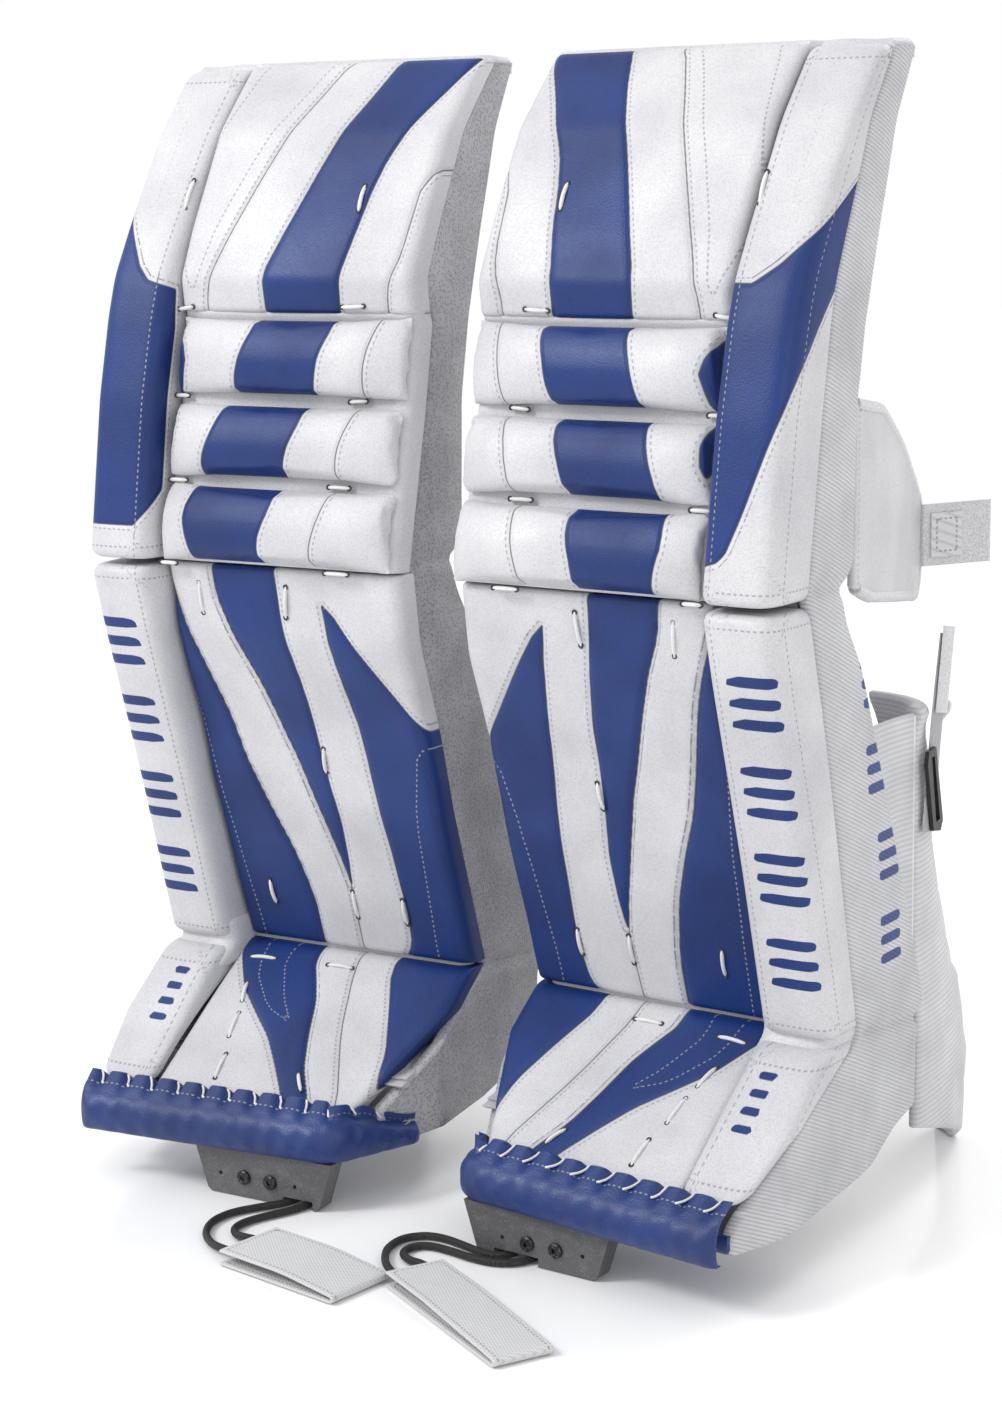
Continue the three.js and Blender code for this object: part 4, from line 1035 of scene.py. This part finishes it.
def backs(side):
    """Quilted backs, the knee and calf cradles and the sole of the toe."""
    make("thigh_back", side, back_panel(UPPER, KNEE_Z + 6, TOP_Z - 10), "upper", "lining",
         ["upper_back_panel"])
    make("shin_back", side, back_panel(SHIN, 178, KNEE_Z - 8), "shin", "lining", ["shin_back_panel"])
    make("boot_back", side, back_panel(BOOT, 88, 150), "boot", "lining")
    inset = {"back": lambda z: BACK(z) - 4}
    make("knee_lining", side, back_panel(inset, KNEE_Z - 24, KNEE_Z + 24),
         ("shin", "upper", (0, 60, KNEE_Z - 20), (0, 60, KNEE_Z + 20)), "lining")
    make("ankle_lining", side, back_panel(inset, 138, 194), ("boot", "shin", (0, 60, 142), (0, 60, 190)),
         "lining")

    def heel():
        x, y = spaced(INNER + WALL, OUTER - WALL, 6), spaced(-44, 164, 6)
        X, Y = np.meshgrid(x, y, indexing="ij")
        Z = np.interp(Y, [-44, 80, 122, 170], [45.5, 57, 79, 91]) + 0.5 * np.sin(X / 17) * np.sin(Y / 21)
        return slab(np.stack([X, Y, Z], -1), np.stack([X, Y, Z + 12], -1))

    make("heel_sole", side, heel(), "boot", "lining")

    def base(part, x0, wide, z0, high):
        def at(U, V):
            Z = z0 + high * V
            return np.stack([x0 + wide * U, part["back"](Z) + 7.5, Z], -1)
        return at

    calf = cushion(base(SHIN, -121, 242, 187, 288), 242, 288, lambda U, V: 11 + 9 * (2 * U - 1) ** 4,
                   [0.25, 0.5, 0.75])
    make("calf_cradle", side, calf, "shin", "ribbed", ["calf_cradle"])
    knee = cushion(base(UPPER, -56, 180, 518, 120), 180, 120, lambda U, V: 14 + 8 * (2 * U - 1) ** 2, [0.33, 0.67])
    make("knee_cradle", side, knee, "upper", "ribbed", ["knee_cradle"])
    block = cushion(base(UPPER, -124, 61, 519, 118), 61, 118, lambda U, V: 23 + 0 * U, [], crown=0.75)
    make("knee_block", side, swollen("block", block, 0.002), "upper", "lining", ["knee_block"])

    def top_cap():
        x = spaced(INNER + 1.5, OUTER - 1.5, 5)
        t = np.linspace(0, 1, 18)
        X, T = np.meshgrid(x, t, indexing="ij")
        y0 = np.where(X < ROLL, FACE(TOP_Z - 6) + 9, SEAM(TOP_Z - 6) + 0.5)
        Y = y0 + (float(EDGE(TOP_Z - 6)) - 3 - y0) * T
        edge = np.minimum(np.minimum(X - x[0], x[-1] - X), np.minimum(Y - y0, float(EDGE(TOP_Z - 6)) - 3 - Y))
        Z = TOP_Z - 0.5 - fillet(edge, 5) + 0.6 * np.sin(X / 9) * np.sin(Y / 6)
        return slab(np.stack([X, Y, Z], -1), np.stack([X, Y, np.full_like(Z, TOP_Z - 14)], -1))

    make("thigh_top", side, top_cap(), "upper", "white")

    def sole():
        y = spaced(-112, -40, 5)
        u = spaced(0, 100, 5) / 100
        U, Y = np.meshgrid(u, y, indexing="ij")
        left, right = toe_x(Y)
        X = left + 3 + (right - left - 6) * U
        edge = np.minimum(np.minimum(X - left, right - X) - 3, np.minimum(Y + 112, -40 - Y))
        Z = 43.4 + fillet(edge, 4)
        return slab(np.stack([X, Y, Z], -1), np.stack([X, Y, np.full_like(Z, 58)], -1))

    make("toe_sole", side, sole(), "boot", "blue")


def binding(side, boot_face):
    """Blue leather folded over the toe and round its inner corner, gathered between its lace loops."""
    plan = smooth_path([(128, -127.8, 0), (70, -122.6, 0), (14, -117.6, 0), (-50, -111.3, 0), (-90, -107.5, 0),
                        (-101, -101, 0), (-108, -86, 0), (-120, -58, 0), (-131, -32, 0)], 230)[:, :2]
    step = np.gradient(plan, axis=0)
    step /= np.linalg.norm(step, axis=1)[:, None]
    out = np.stack([step[:, 1], -step[:, 0]], 1)
    out *= np.sign((out * [-0.5, -1]).sum(1))[:, None]
    run = np.concatenate([[0], np.cumsum(np.linalg.norm(np.diff(plan, axis=0), axis=1))])
    lace_at = np.linspace(12, run[-1] - 34, 12)
    turned = step_between(-plan[:, 0], 88, 108)
    nodes = [(-0.8, 41), (-6, 41.2), (-9.5, 46), (-10.8, 54), (-10, 62), (-6.5, 69), (0, 74.5), (8, 79), (16, 83.5)]
    section = smooth_path([(*n, 0) for n in nodes], 34)[:, :2]
    near = np.abs(run[:, None] - lace_at[None]).min(1)
    pinch, crease = np.exp(-(near / 4.2) ** 2), np.exp(-(near / 2.4) ** 2)
    end = np.clip(np.minimum(run, run[-1] - run) / 7, 0, 1) ** 0.5
    low_end = 1 - 0.5 * step_between(run, run[-1] - 70, run[-1])
    front, back = [], []
    for q, (w, h) in zip(np.linspace(0, 1, 34), section):
        belly = math.sin(math.pi * min(1, q * 1.15)) ** 2
        lip = max(0, q - 0.70) / 0.30
        wrinkle = 0.9 * np.sin(run / 5.3 + 5 * q) * np.sin(run / 11.7 + 9 * q) + 0.6 * np.sin(run / 2.9 - 6 * q)
        lean = w * (1 - 0.95 * turned) if w > 0 else w * (0.55 + 0.45 * end)
        away = -lean + (0.9 + wrinkle * 0.9) * belly * end + 2.4 * lip * (1 - pinch) - 1.2 * lip * pinch
        z = 41 + (h - 41) * low_end - 3.6 * lip * pinch + 2.6 * lip * (1 - pinch) + 0.7 * crease * belly
        front.append(np.column_stack([plan + out * away[:, None], z]))
        back.append(np.column_stack([plan + out * (away - 3.4 - 1.5 * lip)[:, None], z - 2.2 * q + 0.4]))
    front, back = np.array(front), np.array(back)
    shape = slab(front, back)
    reach = np.linspace(0, 1, 34)
    sew = np.concatenate([np.repeat(reach, len(run))] * 2) * 62 - 52
    way = np.concatenate([np.tile(run, len(reach))] * 2)
    make("toe_binding", side, shape, "boot", "blue", ["toe_binding"], {"sew": sew, "run": way})
    loops = []
    for at in lace_at:
        k = int(np.abs(run - at).argmin())
        over = [front[row, min(k + shift, len(run) - 1)] + [0, 0, 1.0] for row, shift in
                ((33, -2), (32, -1), (30, 0), (28, 1), (27, 2))]
        outward_by = np.array([*out[k], 0.35])
        path = [p + outward_by * lift for p, lift in zip(over, (-0.6, 0.9, 1.0, 0.8, -0.8))]
        loops.append(tube(smooth_path(path, 18), 1.0, 8))
    make("toe_laces", side, joined(loops), "boot", "lace")


def wraps(side):
    """Calf wraps, the fabric that carries them, and their straps."""
    arc = math.radians(85)
    node = pad_points("left_calf_wrap_outer")
    high = node[:, 2].max()
    reach = [[0, 174], [84, 180], [177, 147], [270, 98], [363, 72], [400, 52]]

    def outer(U, V, T):
        a = arc * U
        foot = np.maximum(0, 60 - 78 * U)
        Z = foot + (high - foot) * V
        start = 152 + 10 * np.clip((166 - Z) / 14, 0, 1)
        roll = 3.5 * np.exp(-(((high - Z) - 7) / 7) ** 2)
        T = T - np.where(T < 5, roll, -roll * 0.4)
        X = OUTER - 2 - T - (67 - 0.7 * T) * (1 - np.cos(a)) + 1.5 * np.sin(math.pi * V) * U
        return np.stack([X, start + (np.interp(Z, *np.array(reach).T) - T) * np.sin(a), Z], -1)

    def ribs(p, q):
        return 0.5 * (1 - np.abs(np.sin(math.pi * q / 46)) ** 0.4) * 2

    shape, fields = sheet_slab(outer, 170, 400, 10, 4.5, ribs)
    make("calf_wrap_outer", side, shape, "calf_wrap_outer", "ribbed", ["calf_wrap_outer"], fields)

    def inner(U, V, T):
        a = math.radians(70) * U
        Z = 170 + 40 * U + (210 - 60 * U) * V
        return np.stack([INNER + 1 + T + 25 * (1 - np.cos(a)), 152 + (95 - T / 2) * np.sin(a), Z], -1)

    shape, fields = sheet_slab(inner, 92, 200, 10, 4.5, ribs)
    make("calf_wrap_inner", side, shape, "calf_wrap_inner", "ribbed", ["calf_wrap_inner"], fields)
    for name, x, z0, z1 in (("outer", OUTER - 5.5, 163, 396), ("inner", INNER + 5.5, 172, 380)):
        def web(U, V, T, x=x, z0=z0, z1=z1):
            Z = z0 + (z1 - z0) * V
            start = EDGE(Z) - 8
            sag = -math.copysign(3.0, x) * np.sin(math.pi * U)
            return np.stack([x + math.copysign(2.5, x) - np.sign(x) * T + sag, start + (149.5 - start) * U, Z], -1)
        shape, fields = sheet_slab(web, 70, z1 - z0, 4.5, 2)
        make(f"{name}_web", side, shape, "shin", "ribbed", (), fields)
        line = [(x + math.copysign(0.6, x), 150.8, z) for z in np.linspace(z0 + 2, z1 - 2, 40)]
        make(f"{name}_fold_piping", side, tube(line, 1.7, 8), "shin", "lace")
    straps(side)


def straps(side):
    """Diagonal calf strap with its brushed point, the elastic loop and the boot strap."""
    def band(points, width, thick, x):
        path = smooth_path([(y, z, 0) for y, z in points], 40)[:, :2]
        shape, fields, _ = ribbon(path, thick, width)
        v = shape[0]
        turned = np.stack([x + v[:, 0], v[:, 1], v[:, 2]], 1)
        return (turned, shape[1]), fields

    calf, fields = band([(164, 301), (170, 340), (178, 390), (191, 452)], 20, 2.4, OUTER + 1.7)
    fields = {"sew": np.full(len(calf[0]), 9.0), "run": calf[0][:, 2]}
    make("calf_strap", side, calf, "calf_wrap_outer", "strap", ["calf_strap"], fields)
    point, _ = band([(180, 392), (186, 425), (192, 458)], 21, 2.0, OUTER + 4.0)
    make("strap_point", side, point, "calf_wrap_outer", "fuzzy")
    loop = smooth_path([(141, 196, 452 - 58), (146, 201, 402), (143, 208, 407), (137, 208, 402), (138, 200, 392)], 30)
    shape = tube(loop - np.array([3, 0, 12]), 1.8, 8)
    make("elastic_loop", side, shape, "calf_wrap_outer", "lace")

    def boot(U, V, T):
        return np.stack([-129.4 + 258.8 * U, 130.5 - T + 45 * np.sin(math.pi * U), 92 + 25 * V], -1)

    shape, fields = sheet_slab(boot, 275, 25, 2.5, 1.1)
    make("boot_strap", side, shape, "boot", "strap", ["boot_strap"], fields)


def wing(side):
    """Knee wing with a brushed rim and its folded, stitched tab."""
    top = [[50, 640], [106, 632], [160, 602], [200, 575], [245, 546]]
    foot = [[50, 505], [80, 493], [160, 482], [230, 473], [245, 490]]

    def out(y):
        return OUTER - 4 - 45 * np.maximum(0, (y - 50) / 200) ** 1.5

    def panel(U, V, T):
        Y = 50 + 195 * U
        low, high = np.interp(Y, *np.array(foot).T), np.interp(Y, *np.array(top).T)
        return np.stack([out(Y) - T, Y, low + (high - low) * V], -1)

    shape, fields = sheet_slab(panel, 195, 140, 8, 3.5)
    make("knee_wing", side, shape, "knee_wing", "white", ["knee_wing"], fields)
    rim = [panel(np.array(u), np.array(v), 4.0) for u, v in
           [(0.02, 0.99)] + [(u, 0.985) for u in np.linspace(0.1, 0.96, 22)]
           + [(0.985, v) for v in np.linspace(0.94, 0.06, 8)] + [(u, 0.015) for u in np.linspace(0.96, 0.04, 22)]]
    make("wing_rim", side, tube(smooth_path(rim, 150), 5.2, 10), "knee_wing", "fuzzy")

    root = 232

    def tab(U, V, T):
        X = float(out(root)) + 1.5 + 42 * U + 0.66 * (5.5 - T)
        return np.stack([X, root + 37 * U - 0.75 * (5.5 - T), 496.5 + 3 * U + 49 * V], -1)

    shape, fields = sheet_slab(tab, 56, 49, 5.5, 2.2)
    make("knee_strap", side, shape, "knee_wing", "fuzzy", ["knee_strap"], fields)

    def patch(U, V, T):
        return tab(0.12 + 0.46 * U, 0.14 + 0.72 * V, T - 1.8)

    shape, fields = sheet_slab(patch, 26, 36, 2.0, 0.9)
    make("wing_patch", side, shape, "knee_wing", "tape", (), fields)


def hardware(pad):
    """Finishes of the CAD nodes that stay as they are."""
    for n, material in (("toe_bridge", "bridge"), ("screw_1", "steel"), ("screw_2", "steel"), ("strap_hook", "plastic")):
        node = frame["nodes"][f"{pad}_{n}"]
        node.data.materials.clear()
        node.data.materials.append(MAT[material])
        soft = node.modifiers.new("edges", "BEVEL")
        soft.width, soft.segments, soft.limit_method = 0.0005, 2, "ANGLE"


for pad, side in SIDES.items():
    boot_face = front_panels(side)
    rolls(side, pad)
    ankle_fold(side)
    side_walls(side)
    backs(side)
    binding(side, boot_face)
    wraps(side)
    wing(side)
    hardware(pad)


# ---- floor, backdrop and lights ----
def floor():
    s = Shade("studio_floor")
    tone = s.mix(s.ramp(s.noise(1.2), 0.3, 0.7), (0.97, 0.97, 0.973), (0.955, 0.955, 0.958))
    s.bumps((s.noise(220, 3), 0.0001, 0.1),)
    s.done(tone, s.ramp(s.noise(3), 0, 1, 0.13, 0.20))
    n, reach = 13, 14.0
    t = np.linspace(-reach, reach, n)
    rows = [(a, b, -0.0004) for a in t for b in t]
    faces = [(i * n + j, (i + 1) * n + j, (i + 1) * n + j + 1, i * n + j + 1) for i in range(n - 1) for j in range(n - 1)]
    mesh = bpy.data.meshes.new("studio_floor")
    mesh.from_pydata(rows, [], faces)
    mesh.materials.append(s.mat)
    obj = bpy.data.objects.new("studio_floor", mesh)
    bpy.context.scene.collection.objects.link(obj)


def light(name, place, aim, size, power):
    lamp = bpy.data.lights.new(name, "AREA")
    lamp.shape, lamp.size, lamp.energy = "DISK", size, power
    obj = bpy.data.objects.new(name, lamp)
    bpy.context.scene.collection.objects.link(obj)
    obj.location = place
    obj.rotation_mode = "QUATERNION"
    obj.rotation_quaternion = (Vector(aim) - Vector(place)).to_track_quat("-Z", "Y")


floor()
light("key", (-1.7, -2.3, 2.7), (0, 0, 0.5), 1.1, 66)
light("fill", (2.4, -1.6, 1.2), (0, 0, 0.45), 1.6, 8)
light("back", (0.6, 2.4, 2.4), (0, 0, 0.6), 1.2, 24)
world = bpy.data.worlds.new("studio")
bpy.context.scene.world = world
world.use_nodes = True
world.node_tree.nodes["Background"].inputs["Color"].default_value = (1, 1, 1, 1)
world.node_tree.nodes["Background"].inputs["Strength"].default_value = 1.0
bpy.context.scene.view_settings.view_transform = "Standard"
